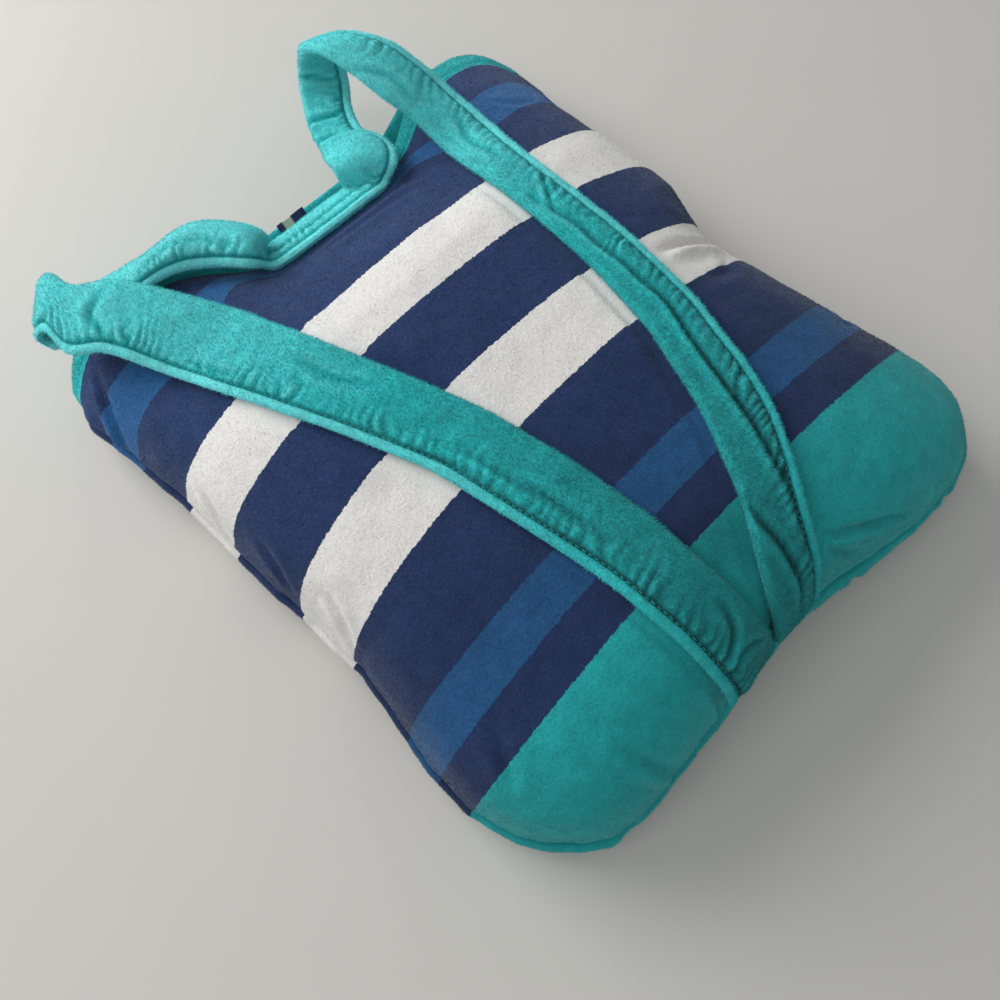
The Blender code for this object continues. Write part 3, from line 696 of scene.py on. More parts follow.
def free_rows(table):
    return [free_row(line[0:3], line[3:6], line[6]) for line in table]


def fold_rows():
    stitched, plain = (np.array(edge) for edge in LEFT_FOLD_EDGES)
    axis = (plain - stitched) / np.linalg.norm(plain - stitched)
    away = np.cross(axis, (0, 0, -1.0))
    rows = []
    for angle in np.linspace(0, math.pi, 5):
        move = LEFT_FOLD_RADIUS * (away * math.sin(angle) + np.array([0, 0, 1 - math.cos(angle)]))
        rows.append(free_row(stitched + move, plain + move, 0))
    return rows


def neck_row(s_ends, lift=0):
    s = s_ends[0] + (s_ends[1] - s_ends[0]) * ACROSS
    t = T_NECK[0] + (T_NECK[1] - T_NECK[0]) * ACROSS
    return above_panel(s, t, LAID_GAP + STRAP_THICKNESS / 2 + lift)


def strap_centre():
    """The strap's middle surface: stations every STRAP_STEP from the left end to the right end."""
    left_end, right_end = np.array(S_NECK_LEFT), np.array(S_NECK_RIGHT)
    rows = laid_rows(LEFT_LAID, -1)
    rows += free_rows(LEFT_OUTER)[::-1] + fold_rows()[::-1] + free_rows(LEFT_FREE)[::-1]
    rows += [neck_row(left_end - S_NECK_GAP - S_NECK_RUN, NECK_RISE)]
    neck = [len(rows)]
    rows += [neck_row(left_end + (right_end - left_end) * k) for k in np.linspace(0, 1, 10)]
    neck += [len(rows) - 1]
    rows += [neck_row(right_end + S_NECK_GAP + S_NECK_RUN, NECK_RISE)]
    rows += free_rows(RIGHT_FREE) + laid_rows(RIGHT_LAID, 1)[::-1]
    p = np.array(rows)
    p = np.concatenate([[2 * p[0] - p[1]], p, [2 * p[-1] - p[-2]]])
    dense = np.array([catmull(p[i - 1:i + 3], k / STEPS_BETWEEN) for i in range(1, len(p) - 2)
                      for k in range(STEPS_BETWEEN)] + [p[-2]])
    length = run_along(dense[:, len(ACROSS) // 2])
    where = np.linspace(0, length[-1], int(length[-1] / STRAP_STEP) + 1)
    index = np.arange(len(length))
    spots = np.interp(where, length, index)
    low = np.floor(spots).astype(int).clip(0, len(dense) - 2)
    part = (spots - low)[:, None, None]
    neck = np.interp(np.array(neck) * STEPS_BETWEEN, index, length)
    return dense[low] * (1 - part) + dense[low + 1] * part, where, neck


BORDER_HALF = 1.6 * MM        # half thicknesses of the border, the body and the rim
BODY_HALF = 2.9 * MM
RIM_HALF = 0.55 * MM
BORDER_MIDDLE = 0.47          # share of the flange
BODY_RISE = 0.006
BODY_FALL = 0.0032
RIM = 0.0008


def strap_depth(d, width):
    """Half thickness of the strap at a distance from its stitched edge."""
    middle = BORDER_MIDDLE * FLANGE
    border = BORDER_HALF * np.sqrt((1 - ((d - middle) / middle) ** 2).clip(0))
    body_in = ((d - FLANGE) / BODY_RISE).clip(0, 1)
    body_out = ((width - d) / BODY_FALL).clip(0, 1)
    body = BODY_HALF * np.sqrt(1 - (1 - body_in) ** 2) ** 0.8 * np.sqrt(1 - (1 - body_out) ** 2)
    rim = RIM_HALF * np.sqrt((np.minimum(d, width - d) / RIM).clip(0, 1))
    return np.maximum(np.maximum(border, body), rim)


# Creases along the strap: (distance along, distance from the stitched edge) in mm, depth, width and
# lip in mm, how far the lip leans to the plain side, and the side of the cloth: 1 over, -1 under.
STRAP_CREASES = (
    (((985, 24), (1003, 21.5), (1016, 19), (1032, 20.5), (1048, 18.7), (1063, 18.9), (1080, 17.4),
      (1100, 19.1), (1131, 19.0), (1153, 16.7), (1175, 12.9), (1193, 8.6), (1207, 7.4), (1226, 6.9)),
     2.9, 2.1, 0.9, 0.9, 1),
    (((1186, 33), (1194, 31), (1203, 26.8), (1213, 22), (1224, 18.8), (1235, 16.3), (1250, 17.3)),
     2.4, 1.9, 0.8, 0.5, 1),
    (((965, 8), (974, 6), (986, 13), (1001, 23)), 1.5, 1.7, 0.6, 0.3, 1),
    (((186, 17), (173, 15.6), (156, 15.6), (136, 17.2), (121, 16.1), (105, 15.7)), 1.3, 2.2, 0.5, 0.0, 1),
    (((205, 7), (192, 6.2), (173, 8.9), (156, 8.4)), 1.1, 1.6, 0.4, 0.3, 1),
    (((52, 25), (45, 23.8), (37, 19.6), (33, 10.6)), 1.2, 2.0, 0.5, 0.0, 1),
    (((20, 30), (26, 20), (24, 9)), 1.1, 1.8, 0.5, 0.0, 1),
    (((240, 30), (262, 26), (285, 29)), 1.0, 2.2, 0.4, 0.0, 1),
    (((298, 12), (318, 9), (338, 13)), 1.1, 2.0, 0.4, 0.0, 1),
    (((380, 6), (396, 18), (392, 33)), 1.8, 2.4, 0.8, 0.3, 1),
    (((430, 34), (452, 30), (470, 33)), 1.0, 2.0, 0.5, 0.0, 1),
    (((520, 30), (540, 25), (562, 29), (585, 24)), 1.3, 2.2, 0.6, 0.0, 1),
    (((690, 9), (700, 16), (712, 13)), 1.7, 1.9, 0.7, 0.0, 1),
    (((716, 36), (722, 22), (728, 8)), 1.6, 2.3, 0.8, 0.2, 1),
    (((740, 37), (745, 24), (752, 8)), 1.6, 2.2, 0.8, -0.2, 1),
    (((762, 36), (770, 24), (775, 9)), 1.5, 2.2, 0.7, 0.2, 1),
    (((790, 36), (796, 22), (806, 10)), 1.3, 2.4, 0.7, 0.0, 1),
    (((850, 33), (866, 24), (884, 27)), 1.1, 2.3, 0.5, 0.0, 1),
    (((905, 12), (925, 19), (950, 15)), 1.2, 2.3, 0.5, 0.0, 1),
    (((60, 24), (100, 19), (140, 24)), 1.0, 2.2, 0.4, 0.0, -1),
    (((220, 10), (250, 18), (290, 14)), 1.1, 2.2, 0.4, 0.0, -1),
    (((395, 32), (420, 24), (455, 28)), 1.3, 2.2, 0.5, 0.0, -1),
    (((500, 10), (530, 16), (560, 11)), 1.1, 2.2, 0.5, 0.0, -1),
    (((716, 8), (724, 20), (730, 34)), 1.7, 2.3, 0.8, 0.0, -1),
    (((742, 8), (748, 22), (751, 36)), 1.6, 2.3, 0.8, 0.0, -1),
    (((770, 10), (778, 22), (781, 35)), 1.5, 2.3, 0.7, 0.0, -1),
    (((860, 14), (890, 22), (930, 18)), 1.2, 2.3, 0.5, 0.0, -1),
    (((1010, 18), (1060, 22), (1120, 17)), 1.2, 2.3, 0.5, 0.0, -1),
)


NEAR_EDGE = np.array([0, 0.35, 1.0, 2.4, 3.8, 4.8, 5.5, 6.0, 6.7, 8.2, 10.0]) * MM
FAR_EDGE = np.array([5.2, 3.2, 1.9, 0.9, 0.25, 0]) * MM
BODY_COLUMNS = 9
RIPPLE_STEP = 0.0066          # along the strap, from one ripple beside the stitch line to the next
RIPPLE_HEIGHT = 1.5 * MM
NECK_SWELL = 0.6 * MM
TUCK_PLACE = 0.52             # the neck's lengthwise tuck: share of the width, and its reach
TUCK_REACH = 0.07
TUCK_DEPTH = 2.0 * MM
LEAST_DEPTH = 0.35 * MM
HOLLOW_HALF = 0.3 * MM
# Painted light (+) and painted shade (-) on parts of the strap: how much lighter or darker they look than the
# rest.
BORDER_SHADE, STITCH_SHADE, RIPPLE_SHADE = 0.46, -0.62, 0.42
NECK_SHADE, TUCK_SHADE, LEG_SHADE = 0.12, -0.65, -0.34
LIP_SHADE, CREASE_SHADE = 0.14, -0.2          # the second for each mm of a crease's depth
SHADE_LIMITS = (-0.85, 0.7)


def crease(gap, run, side, wide, lean, lip=(1.9, 1.1), ends=(0.02, 0.5)):
    """The hollow of a crease and the lip beside it, as shares of their greatest size."""
    fade = np.sin(np.pi * run.clip(ends[0], 1 - ends[0])) ** ends[1]
    return fade * bell(gap, wide), fade * bell(gap - lip[0] * wide, lip[1] * wide) * (1 + lean * side)


def strap_face(side, along, d, widths, depth, painted_light):
    """Height over the middle surface and painted light and shade of one face: puffs, ripples, border and
    creases.
    """
    flat = np.stack([along, d, np.full(d.shape, 0.1 * side)], -1)
    beyond = (d - FLANGE).clip(0)
    wander = waves(flat, (0.9, 0.021, 9), (0.5, 0.007, 12))
    comma = np.sin(2 * math.pi * (along / RIPPLE_STEP + wander - (beyond / 0.016) ** 1.4)) ** 3
    uneven = (0.55 + waves(flat * np.array([1, 0.3, 1]), (0.75, 0.012, 10))).clip(0, 1.2)
    reach = 0.0105 + waves(flat * np.array([1, 0, 1]), (0.0045, 0.009, 11))
    ripple = comma * uneven * np.exp(-(beyond / reach) ** 1.6) * (d > FLANGE) * smooth_step(beyond, 0, 0.0018)
    scallop = waves(flat * np.array([1, 0.1, 1]), (0.3 * MM, 0.0034, 8)) * (d < FLANGE)
    body = smooth_step(d, FLANGE, FLANGE + 0.004) * smooth_step(widths - d, 0.0, 0.005)
    moved = depth + body * waves(flat, (0.55 * MM, 0.019, 5), (0.3 * MM, 0.008, 6))
    moved = moved + RIPPLE_HEIGHT * ripple + scallop * (depth > 0.0009)
    shade = painted_light + BORDER_SHADE * (d < FLANGE - 0.0008) + STITCH_SHADE * bell(d - FLANGE - 0.0002, 0.0009)
    shade = shade + RIPPLE_SHADE * ripple * (beyond > 0)
    flat = flat[..., :2].reshape(-1, 2)
    for marks, deep, wide, lip, lean, face in STRAP_CREASES:
        if face != side:
            continue
        path = curve_through(np.array(marks) * MM, 60)
        near = ((flat > path.min(0) - 0.015) & (flat < path.max(0) + 0.015)).all(1)
        gap, run, foot = from_line(flat[near], path)
        hollow, ridge = crease(gap, run, np.sign(flat[near, 1] - foot[:, 1]), wide * MM, lean)
        moved.reshape(-1)[near] += (lip * ridge - deep * hollow) * MM
        shade.reshape(-1)[near] += LIP_SHADE * ridge + CREASE_SHADE * hollow * deep
    rim = (np.minimum(d, widths - d) / 0.001).clip(0, 1)
    return np.maximum(moved, LEAST_DEPTH) * rim, shade.clip(*SHADE_LIMITS)


def build_strap(centre, where, neck, material):
    """The strap as one closed tube with a flat hollow, and its faces: points, normals, painted lightness."""
    widths = np.linalg.norm(np.diff(centre, axis=1), axis=-1).sum(1)[:, None]
    inner = np.linspace(0, 1, BODY_COLUMNS + 2)[1:-1]
    d = np.concatenate([np.tile(NEAR_EDGE, (len(centre), 1)),
                        NEAR_EDGE[-1] + (widths - FAR_EDGE[0] - NEAR_EDGE[-1]) * inner, widths - FAR_EDGE], 1)
    share = d / widths
    spots = share * (len(ACROSS) - 1)
    low = np.floor(spots).astype(int).clip(0, len(ACROSS) - 2)
    part = (spots - low)[..., None]
    line = np.arange(len(centre))[:, None]
    points = centre[line, low] * (1 - part) + centre[line, low + 1] * part
    normals = grid_normals(points)
    depth = strap_depth(d, widths)
    along = np.repeat(where[:, None], d.shape[1], 1)
    necked = smooth_step(where, neck[0] - 0.012, neck[0] + 0.008)
    necked = (necked * (1 - smooth_step(where, neck[1] - 0.01, neck[1] + 0.012)))[:, None]
    tuck = bell(share - TUCK_PLACE, TUCK_REACH) * necked
    depth = depth + necked * NECK_SWELL * (depth > 0.001) - TUCK_DEPTH * tuck
    # painted light and shade: darker towards the bottom end, lighter towards the mouth, painted shade on the
    # loop's leg and in the neck's tuck, painted light on the neck
    painted_light = painted_light_along(points, STRAP_PAINTED_LIGHT) + LEG_SHADE * bell(along - LOOP_LEG[0], LOOP_LEG[1])
    painted_light = painted_light + NECK_SHADE * necked + TUCK_SHADE * tuck
    grids, shades, sides = [], [], []
    for side in (1, -1):
        height, shade = strap_face(side, along, d, widths, depth, painted_light)
        grids.append(points + side * normals * height[..., None])
        sides.append((grids[-1], side * grid_normals(grids[-1]), shade))
        shades.append(shade)
    outer, shade = (np.concatenate([over, under[:, 1:-1][:, ::-1]], 1) for over, under in (grids, shades))
    thin = (slice(None, None, 4), slice(1, -1, 3))
    above, below = (points[thin] + side * normals[thin] * HOLLOW_HALF for side in (1, -1))
    hollow = np.concatenate([above, below[:, ::-1]], 1)
    faces = tube_faces(*outer.shape[:2]) + tube_faces(*hollow.shape[:2], outer[..., 0].size, True)
    shade = np.concatenate([shade.ravel(), np.zeros(hollow[..., 0].size)])
    strap = make_piece("shoulder_strap", np.concatenate([outer.reshape(-1, 3), hollow.reshape(-1, 3)]), faces,
                       material, {"shade": shade})
    return strap, sides, int(np.argmin(np.abs(d[0] - FLANGE)))


STITCH_STEP = 0.0034
STITCH_LENGTH = 0.0023
STITCH_RADIUS = 0.00032
STITCH_RINGS = np.array([-0.5, -0.36, 0, 0.36, 0.5])[:, None, None]       # places along a stitch
STITCH_WIDTHS = np.array([0.35, 0.9, 1.0, 0.9, 0.35])[:, None, None]      # shares of its radius
STITCH_TURN = np.linspace(0, 2 * math.pi, 6)[:-1, None]


def stitches(name, line, normals, material, seed):
    """A row of short rounded stitches along a line of points, half sunk in the cloth."""
    run = run_along(line)
    places = np.arange(STITCH_STEP, run[-1] - STITCH_STEP, STITCH_STEP)
    wanted = ((places, line), (places + STITCH_LENGTH, line), (places, normals))
    here, there, up = (np.stack([np.interp(spots, run, field[:, k]) for k in range(3)], 1)[:, None, None]
                       for spots, field in wanted)
    ahead = unit(there - here)
    beside = unit(np.cross(ahead, unit(up)))
    up = np.cross(beside, ahead)
    size = STITCH_LENGTH * np.random.default_rng(seed).uniform(0.85, 1.1, (len(places), 1, 1, 1))
    bend = np.cos(STITCH_RINGS * math.pi * 0.9) * STITCH_RADIUS * 0.6
    middle = here + ahead * STITCH_RINGS * size + up * bend
    turned = beside * np.cos(STITCH_TURN) + up * np.sin(STITCH_TURN)
    points = middle + STITCH_RADIUS * STITCH_WIDTHS * turned
    count, rings, size = points.shape[:3]
    starts = np.arange(count)[:, None, None] * rings * size
    faces = [(starts + one).reshape(-1, one.shape[1]) for one in tube_faces(rings, size)]
    return make_piece(name, points, faces, material)


# ---- panels ----
def panel_columns(middle, side):
    reach = np.linspace(0, 0.84, middle)
    inner = np.arcsin(reach ** (SIDE_POWER / 2)) * 2 / math.pi
    half = np.concatenate([inner, np.linspace(inner[-1], 1, side)[1:]])
    return np.concatenate([-half[:0:-1], half])


def panel_rows(bottom, middle, mouth):
    return np.concatenate([np.linspace(0, T_ROUND, bottom)[:-1],
                           np.linspace(T_ROUND, T_MOUTH, middle)[:-1], np.linspace(T_MOUTH, T_HEM, mouth)])


def hem_start(s):
    return T_HEM + HEM_START + HEM_TAPER * np.abs(s) ** 6


def to_hem(s, t):
    """A panel row's t, stretched near the mouth so that the last row meets the hem."""
    return t + (hem_start(s) - T_HEM) * (t / T_HEM) ** 12


def cut_values(surface, s, t, points):
    """Where each point of a panel lies on its cut cloth, from the bottom seam."""
    out = cut_place(points[..., 0], points[..., 1])
    rows = np.linspace(0.45, 1, 160)
    last_cut = STRIPE_ENDS[-1][0]
    cuts = [last_cut] + [line[0] for line in MOUTH_ENDS] + [CUT_FULL]
    for c in range(s.shape[1]):
        column = surface(np.full(rows.shape, s[0, c]), rows)
        start = np.interp(last_cut, cut_place(column[:, 0], column[:, 1]), rows)
        middle = 1 - smooth_step(abs(column[-1, 0]), *MID_MOUTH)
        stops = [start] + [side + (mid - side) * middle for _, side, mid in MOUTH_ENDS] + [1.0]
        out[:, c] = np.where(t[:, c] > start, np.interp(t[:, c], stops, cuts), out[:, c])
    return out


def seam_distance(points):
    """Distance of each grid point from the nearest sewn edge, and the nearest edge point."""
    run = np.linalg.norm(np.diff(points, axis=1), axis=-1)
    from_left = np.concatenate([np.zeros((len(points), 1)), np.cumsum(run, 1)], 1)
    from_right = from_left[:, -1:] - from_left
    climb = np.linalg.norm(np.diff(points, axis=0), axis=-1)
    from_bottom = np.concatenate([np.zeros((1, points.shape[1])), np.cumsum(climb, 0)])
    near = np.minimum(np.minimum(from_left, from_right), from_bottom)
    feet = np.where((from_left <= near)[..., None], points[:, :1], points[:, -1:])
    feet = np.where((from_bottom <= near)[..., None], points[:1], feet)
    return near, feet


# Panel creases: (s, t) places along each, depth, width, lip, and how far the lip leans to one side.
UPPER_CREASES = (
    (((0.058, 0.156), (0.101, 0.139), (0.152, 0.121), (0.232, 0.093), (0.31, 0.06)), 3.4, 2.4, 1.5, 0.6),
    (((0.06, 0.145), (0.097, 0.1), (0.163, 0.034)), 2.8, 2.4, 1.2, -0.4),
    (((0.7, 0.495), (0.565, 0.505), (0.454, 0.515), (0.361, 0.52)), 3.2, 3.2, 2.2, -0.7),
    (((0.62, 0.47), (0.5, 0.455), (0.4, 0.462)), 1.4, 4.2, 1.0, 0.0),
    (((-0.658, 0.932), (-0.709, 0.887), (-0.825, 0.858), (-0.958, 0.84)), 2.2, 2.6, 1.6, 0.6),
    (((-0.775, 0.682), (-0.827, 0.658), (-0.9, 0.632)), 1.8, 2.8, 1.2, 0.3),
    (((-0.7, 0.503), (-0.758, 0.477), (-0.84, 0.448)), 1.8, 2.8, 1.2, 0.3),
    (((-0.742, 0.596), (-0.78, 0.568), (-0.88, 0.536)), 1.4, 3.0, 1.0, 0.0),
    (((-0.37, 0.19), (-0.359, 0.157), (-0.35, 0.113), (-0.328, 0.032)), 2.2, 3.0, 1.5, 0.5),
    (((-0.142, 0.15), (-0.15, 0.101), (-0.163, 0.03)), 2.4, 2.4, 1.3, 0.4),
    (((-0.55, 0.3), (-0.62, 0.26), (-0.7, 0.24)), 1.0, 4.0, 0.8, 0.0),
    (((0.45, 0.86), (0.52, 0.83), (0.6, 0.82)), 1.0, 3.2, 0.9, 0.0),
    (((-0.3, 0.8), (-0.36, 0.84), (-0.38, 0.89)), 1.3, 3.2, 1.0, 0.0),
    (((0.12, 0.86), (0.05, 0.885), (-0.04, 0.89)), 1.3, 3.0, 1.0, 0.3),
    (((0.78, 0.36), (0.7, 0.33), (0.62, 0.335)), 1.1, 3.2, 0.9, 0.0),
)
LOWER_CREASES = (
    (((-0.6, 0.15), (-0.56, 0.06), (-0.5, 0.02)), 1.6, 3.0, 1.0, 0.0),
    (((0.2, 0.1), (0.16, 0.05), (0.15, 0.01)), 1.8, 2.6, 1.0, 0.0),
    (((0.6, 0.12), (0.56, 0.05), (0.55, 0.01)), 1.6, 3.0, 1.0, 0.0),
    (((-0.97, 0.5), (-0.9, 0.52), (-0.85, 0.53)), 1.3, 3.0, 0.8, 0.0),
    (((0.97, 0.45), (0.9, 0.46), (0.85, 0.45)), 1.3, 3.0, 0.8, 0.0),
    (((-0.3, 0.86), (0.0, 0.84), (0.3, 0.87)), 1.2, 4.0, 0.8, 0.0),
    (((-0.4, 0.5), (-0.1, 0.46), (0.25, 0.49)), 1.0, 4.0, 0.4, 0.0),
)


def crease_moves(points, normals, surface, creases):
    flat, up = points.reshape(-1, 3), normals.reshape(-1, 3)
    moves = np.zeros(len(flat))
    for marks, deep, wide, lip, lean in creases:
        path = curve_through(surface(*np.array(marks).T), 36)
        near = np.where(((flat > path.min(0) - 0.02) & (flat < path.max(0) + 0.02)).all(1))[0]
        if not len(near):
            continue
        gap, run, foot = from_line(flat[near], path)
        ahead = unit(np.gradient(path, axis=0))
        ahead = np.stack([np.interp(run * 35, np.arange(36), ahead[:, k]) for k in range(3)], 1)
        side = np.sign((np.cross(ahead, up[near]) * (flat[near] - foot)).sum(1))
        hollow, ridge = crease(gap, run, side, wide * MM, lean, (1.8, 1.2), (0.01, 0.6))
        moves[near] += (lip * ridge - deep * hollow) * MM
    return moves.reshape(points.shape[:2])


def strap_mask(points, centre):
    """1 where the strap presses on the panel, fading to 0 beside it."""
    spots = centre[::3, ::3].reshape(-1, 3)
    tree = kdtree.KDTree(len(spots))
    for i, spot in enumerate(spots):
        tree.insert(spot, i)
    tree.balance()
    gaps = np.array([tree.find(p)[2] for p in points.reshape(-1, 3)])
    return (1 - smooth_step(gaps, 0.0045, 0.0085)).reshape(points.shape[:2])


PANEL_SWELLS = ((1.5 * MM, 0.062, 21), (0.95 * MM, 0.027, 22), (0.34 * MM, 0.011, 23))
PUCKERS = ((1, 0.0065, 24), (0.7, 0.013, 25))
PUCKER_HEIGHT = 1.25 * MM
PUCKER_REACH = 0.01
PRESSED = 0.9 * MM            # how far the strap presses the panel in
SEAM_SINK = (2.3 * MM, 0.0028)
SEAM_ROLL = (1.0 * MM, 0.007, 0.0045)     # height, distance from the seam and reach
SEAM_SHADE = (-0.55, 0.002)
HOLLOW_SHADE = -0.3           # painted shade between the strap ends
RESTING = 0.004               # lower than this the lower panel lies on the table
COARSE = 4                    # the inner skin has one point to this many of the outer one's


def thinned(count):
    return list(range(0, count - 1, COARSE)) + [count - 1]


def rim_faces(inner_rows, inner_columns, wide, count, flip):
    """Faces that close the rim between a panel's fine outer skin and its coarse inner one."""
    last_row, last_column = len(inner_rows) - 1, len(inner_columns) - 1
    rims = []
    for line in (0, last_row):
        for a in range(last_column):
            fine = [inner_rows[line] * wide + c for c in range(inner_columns[a], inner_columns[a + 1] + 1)]
            first = count + line * (last_column + 1) + a
            rims.append((fine, first, first + 1, line == 0))
    for line in (0, last_column):
        for a in range(last_row):
            fine = [r * wide + inner_columns[line] for r in range(inner_rows[a], inner_rows[a + 1] + 1)]
            first = count + a * (last_column + 1) + line
            rims.append((fine, first, first + last_column + 1, line != 0))
    faces = {}
    for fine, a, b, turn in rims:
        loop = fine[::-1] + [a, b] if turn == flip else [b, a] + fine
        faces.setdefault(len(loop), []).append(loop)
    return list(faces.values())


def build_panel(name, surface, columns, rows, creases, material, centre):
    """A panel as a closed shell; also its outer grid, normals, cut places and the strap's mask."""
    s, t = np.meshgrid(columns, rows)
    t = to_hem(s, t)
    base = surface(s, t)
    normals = outward(surface, s, t)
    near, feet = seam_distance(base)
    cut = cut_values(surface, s, t, base)
    upper = surface is upper_point
    mask = strap_mask(base, centre) if upper else np.zeros(s.shape)
    moves = (1 - mask) * smooth_step(near, 0.0, 0.012) * waves(base, *PANEL_SWELLS) - mask * PRESSED
    gathered = np.exp(-near / PUCKER_REACH) * smooth_step(near, 0.0, 0.004) * (1 - mask)
    moves = moves + PUCKER_HEIGHT * waves(feet, *PUCKERS) * gathered
    moves = moves - SEAM_SINK[0] * bell(near, SEAM_SINK[1])
    moves = moves + SEAM_ROLL[0] * bell(near - SEAM_ROLL[1], SEAM_ROLL[2]) * (1 - mask)
    moves = moves + crease_moves(base, normals, surface, creases) * (1 - 0.8 * mask)
    moves = moves * (1 - 0.8 * smooth_step(t, hem_start(s) - 0.03, hem_start(s)))
    hollow = np.linalg.norm(base[..., :2] - BETWEEN_STRAPS[:2], axis=-1)
    # painted light and shade: darker towards the bottom end, lighter towards the mouth, painted shade along
    # the seams and in the hollow between the strap ends
    shade = painted_light_along(base, PANEL_PAINTED_LIGHT) + SEAM_SHADE[0] * bell(near, SEAM_SHADE[1])
    shade = shade + HOLLOW_SHADE * bell(hollow, BETWEEN_STRAPS[2]) * upper
    if not upper:
        moves = np.where(base[..., 2] < RESTING, np.minimum(moves, 0) * 0.7, moves)
    points = base + normals * moves[..., None]
    points[..., 2] = points[..., 2].clip(0.0001)
    least = moves.copy()
    for _ in range(COARSE):
        padded = np.pad(least, 1, mode="edge")
        least = np.minimum.reduce([padded[1:-1, 1:-1], padded[:-2, 1:-1], padded[2:, 1:-1],
                                   padded[1:-1, :-2], padded[1:-1, 2:]])
    inner_rows, inner_columns = thinned(len(rows)), thinned(len(columns))
    pick = np.ix_(inner_rows, inner_columns)
    inside = base[pick] + normals[pick] * (least[pick] - CLOTH)[..., None]
    inside[..., 2] = inside[..., 2].clip(0.0012)
    skins = [net_faces(len(rows), len(columns), 0, not upper),
             net_faces(len(inner_rows), len(inner_columns), s.size, upper)]
    sets = skins + rim_faces(inner_rows, inner_columns, len(columns), s.size, upper)
    values = {key: np.concatenate([field.ravel(), field[pick].ravel()])
              for key, field in (("cut", cut), ("shade", shade))}
    both = np.concatenate([points.reshape(-1, 3), inside.reshape(-1, 3)])
    thing = make_piece(name, both, sets, material, values)
    return thing, points, grid_normals(points) * (1 if upper else -1), cut, mask


HEM_SHARES = np.array([0, 0.04, 0.12, 0.2, 0.27, 0.33, 0.42, 0.55, 0.7, 0.84, 0.94, 1.0])    # across the hem
HEM_GROOVE = (0.9 * MM, 0.27, 0.06)       # depth, place and reach of the stitched hollow
HEM_WAVES = ((0.28 * MM, 0.006, 41), (0.35 * MM, 0.015, 42))


def build_hem(name, surface, material):
    """A turned hem along the mouth: a flat tube with a stitched hollow near its inner edge."""
    s = panel_columns(150, 70)[:, None]
    start = hem_start(s) - 0.002
    grid_s = np.repeat(s, len(HEM_SHARES), 1)
    grid_t = start + (1 - start) * HEM_SHARES
    points = surface(grid_s, grid_t)
    normals = outward(surface, grid_s, grid_t)
    thick = HEM_THICKNESS + 0.0004
    full = np.sqrt(1 - (np.abs(2 * HEM_SHARES - 1)) ** 6) * thick / 2
    hollow = HEM_GROOVE[0] * bell(HEM_SHARES - HEM_GROOVE[1], HEM_GROOVE[2])
    wave = waves(points, *HEM_WAVES) * (full > 0.0006)
    middle = points - normals * (thick / 2 - 0.5 * MM)
    flat_end = 0.4 + 0.6 * smooth_step(1 - np.abs(s), 0.0, 0.01)
    over = middle + normals * ((full - hollow + wave) * flat_end)[..., None].clip(0.0002)
    under = middle - normals * ((full - 0.6 * hollow + wave) * flat_end)[..., None].clip(0.0002)
    outer = np.concatenate([over, under[:, ::-1]], 1)
    outer[..., 2] = outer[..., 2].clip(0.0002)
    thing = make_piece(name, outer, tube_faces(*outer.shape[:2], 0, surface is not upper_point), material)
    groove = int(np.argmin(np.abs(HEM_SHARES - HEM_GROOVE[1])))
    return thing, over, under, over[:, groove], normals[:, groove]


# ---- folded towel and label ----
TOWEL_LAYERS = 9
TOWEL_FROM = 0.09
TOWEL_TO = 0.93
TOWEL_TURN = 0.012            # how far in t a fold reaches past the layers
TOWEL_ROOM = CLOTH + 0.0035   # kept free inside a panel's surface


def build_towel(material):
    """The towel as one long sheet folded to and fro between the panels, its folds at the mouth."""
    s = panel_columns(16, 12)[2:-2] * 0.985
    path_t, path_k = [], []
    for layer in range(TOWEL_LAYERS):
        run = np.linspace(TOWEL_FROM, TOWEL_TO, 24)[::1 - 2 * (layer % 2)]
        path_t += list(run)
        path_k += [(layer + 0.5) / TOWEL_LAYERS] * len(run)
        if layer < TOWEL_LAYERS - 1:
            for turn in np.linspace(0, math.pi, 7)[1:-1]:
                path_t.append(run[-1] + (1 - 2 * (layer % 2)) * TOWEL_TURN * math.sin(turn))
                path_k.append((layer + 0.5 + (1 - math.cos(turn)) / 2) / TOWEL_LAYERS)
    grid_s, grid_t = np.meshgrid(s, path_t)
    share = np.repeat(np.array(path_k)[:, None], len(s), 1)
    top, low = (surface(grid_s, grid_t) - outward(surface, grid_s, grid_t) * TOWEL_ROOM
                for surface in (upper_point, packed_point))
    low[..., 2] = low[..., 2].clip(CLOTH + 0.0008)
    room = np.linalg.norm(top - low, axis=-1)
    centre = low * (1 - share[..., None]) + top * share[..., None]
    half = (room / TOWEL_LAYERS * 0.8).clip(0.0006, 0.0068) / 2
    wave = lattice_noise(np.stack([grid_s * 0.3, grid_t * 0.4, share], -1), 0.03, 51)
    normals = grid_normals(centre)
    over = centre + normals * (half * (1 + 0.15 * wave))[..., None]
    under = centre - normals * half[..., None]
    outer = np.concatenate([over, under[:, ::-1]], 1)
    return make_piece("folded_towel_sheet", outer, tube_faces(*outer.shape[:2]), material)


LABEL_S = (-0.03, 0.002)
LABEL_T = (0.95, 1.0)
LABEL_ROWS, LABEL_COLUMNS = 22, 14
LABEL_THICKNESS = 0.0007


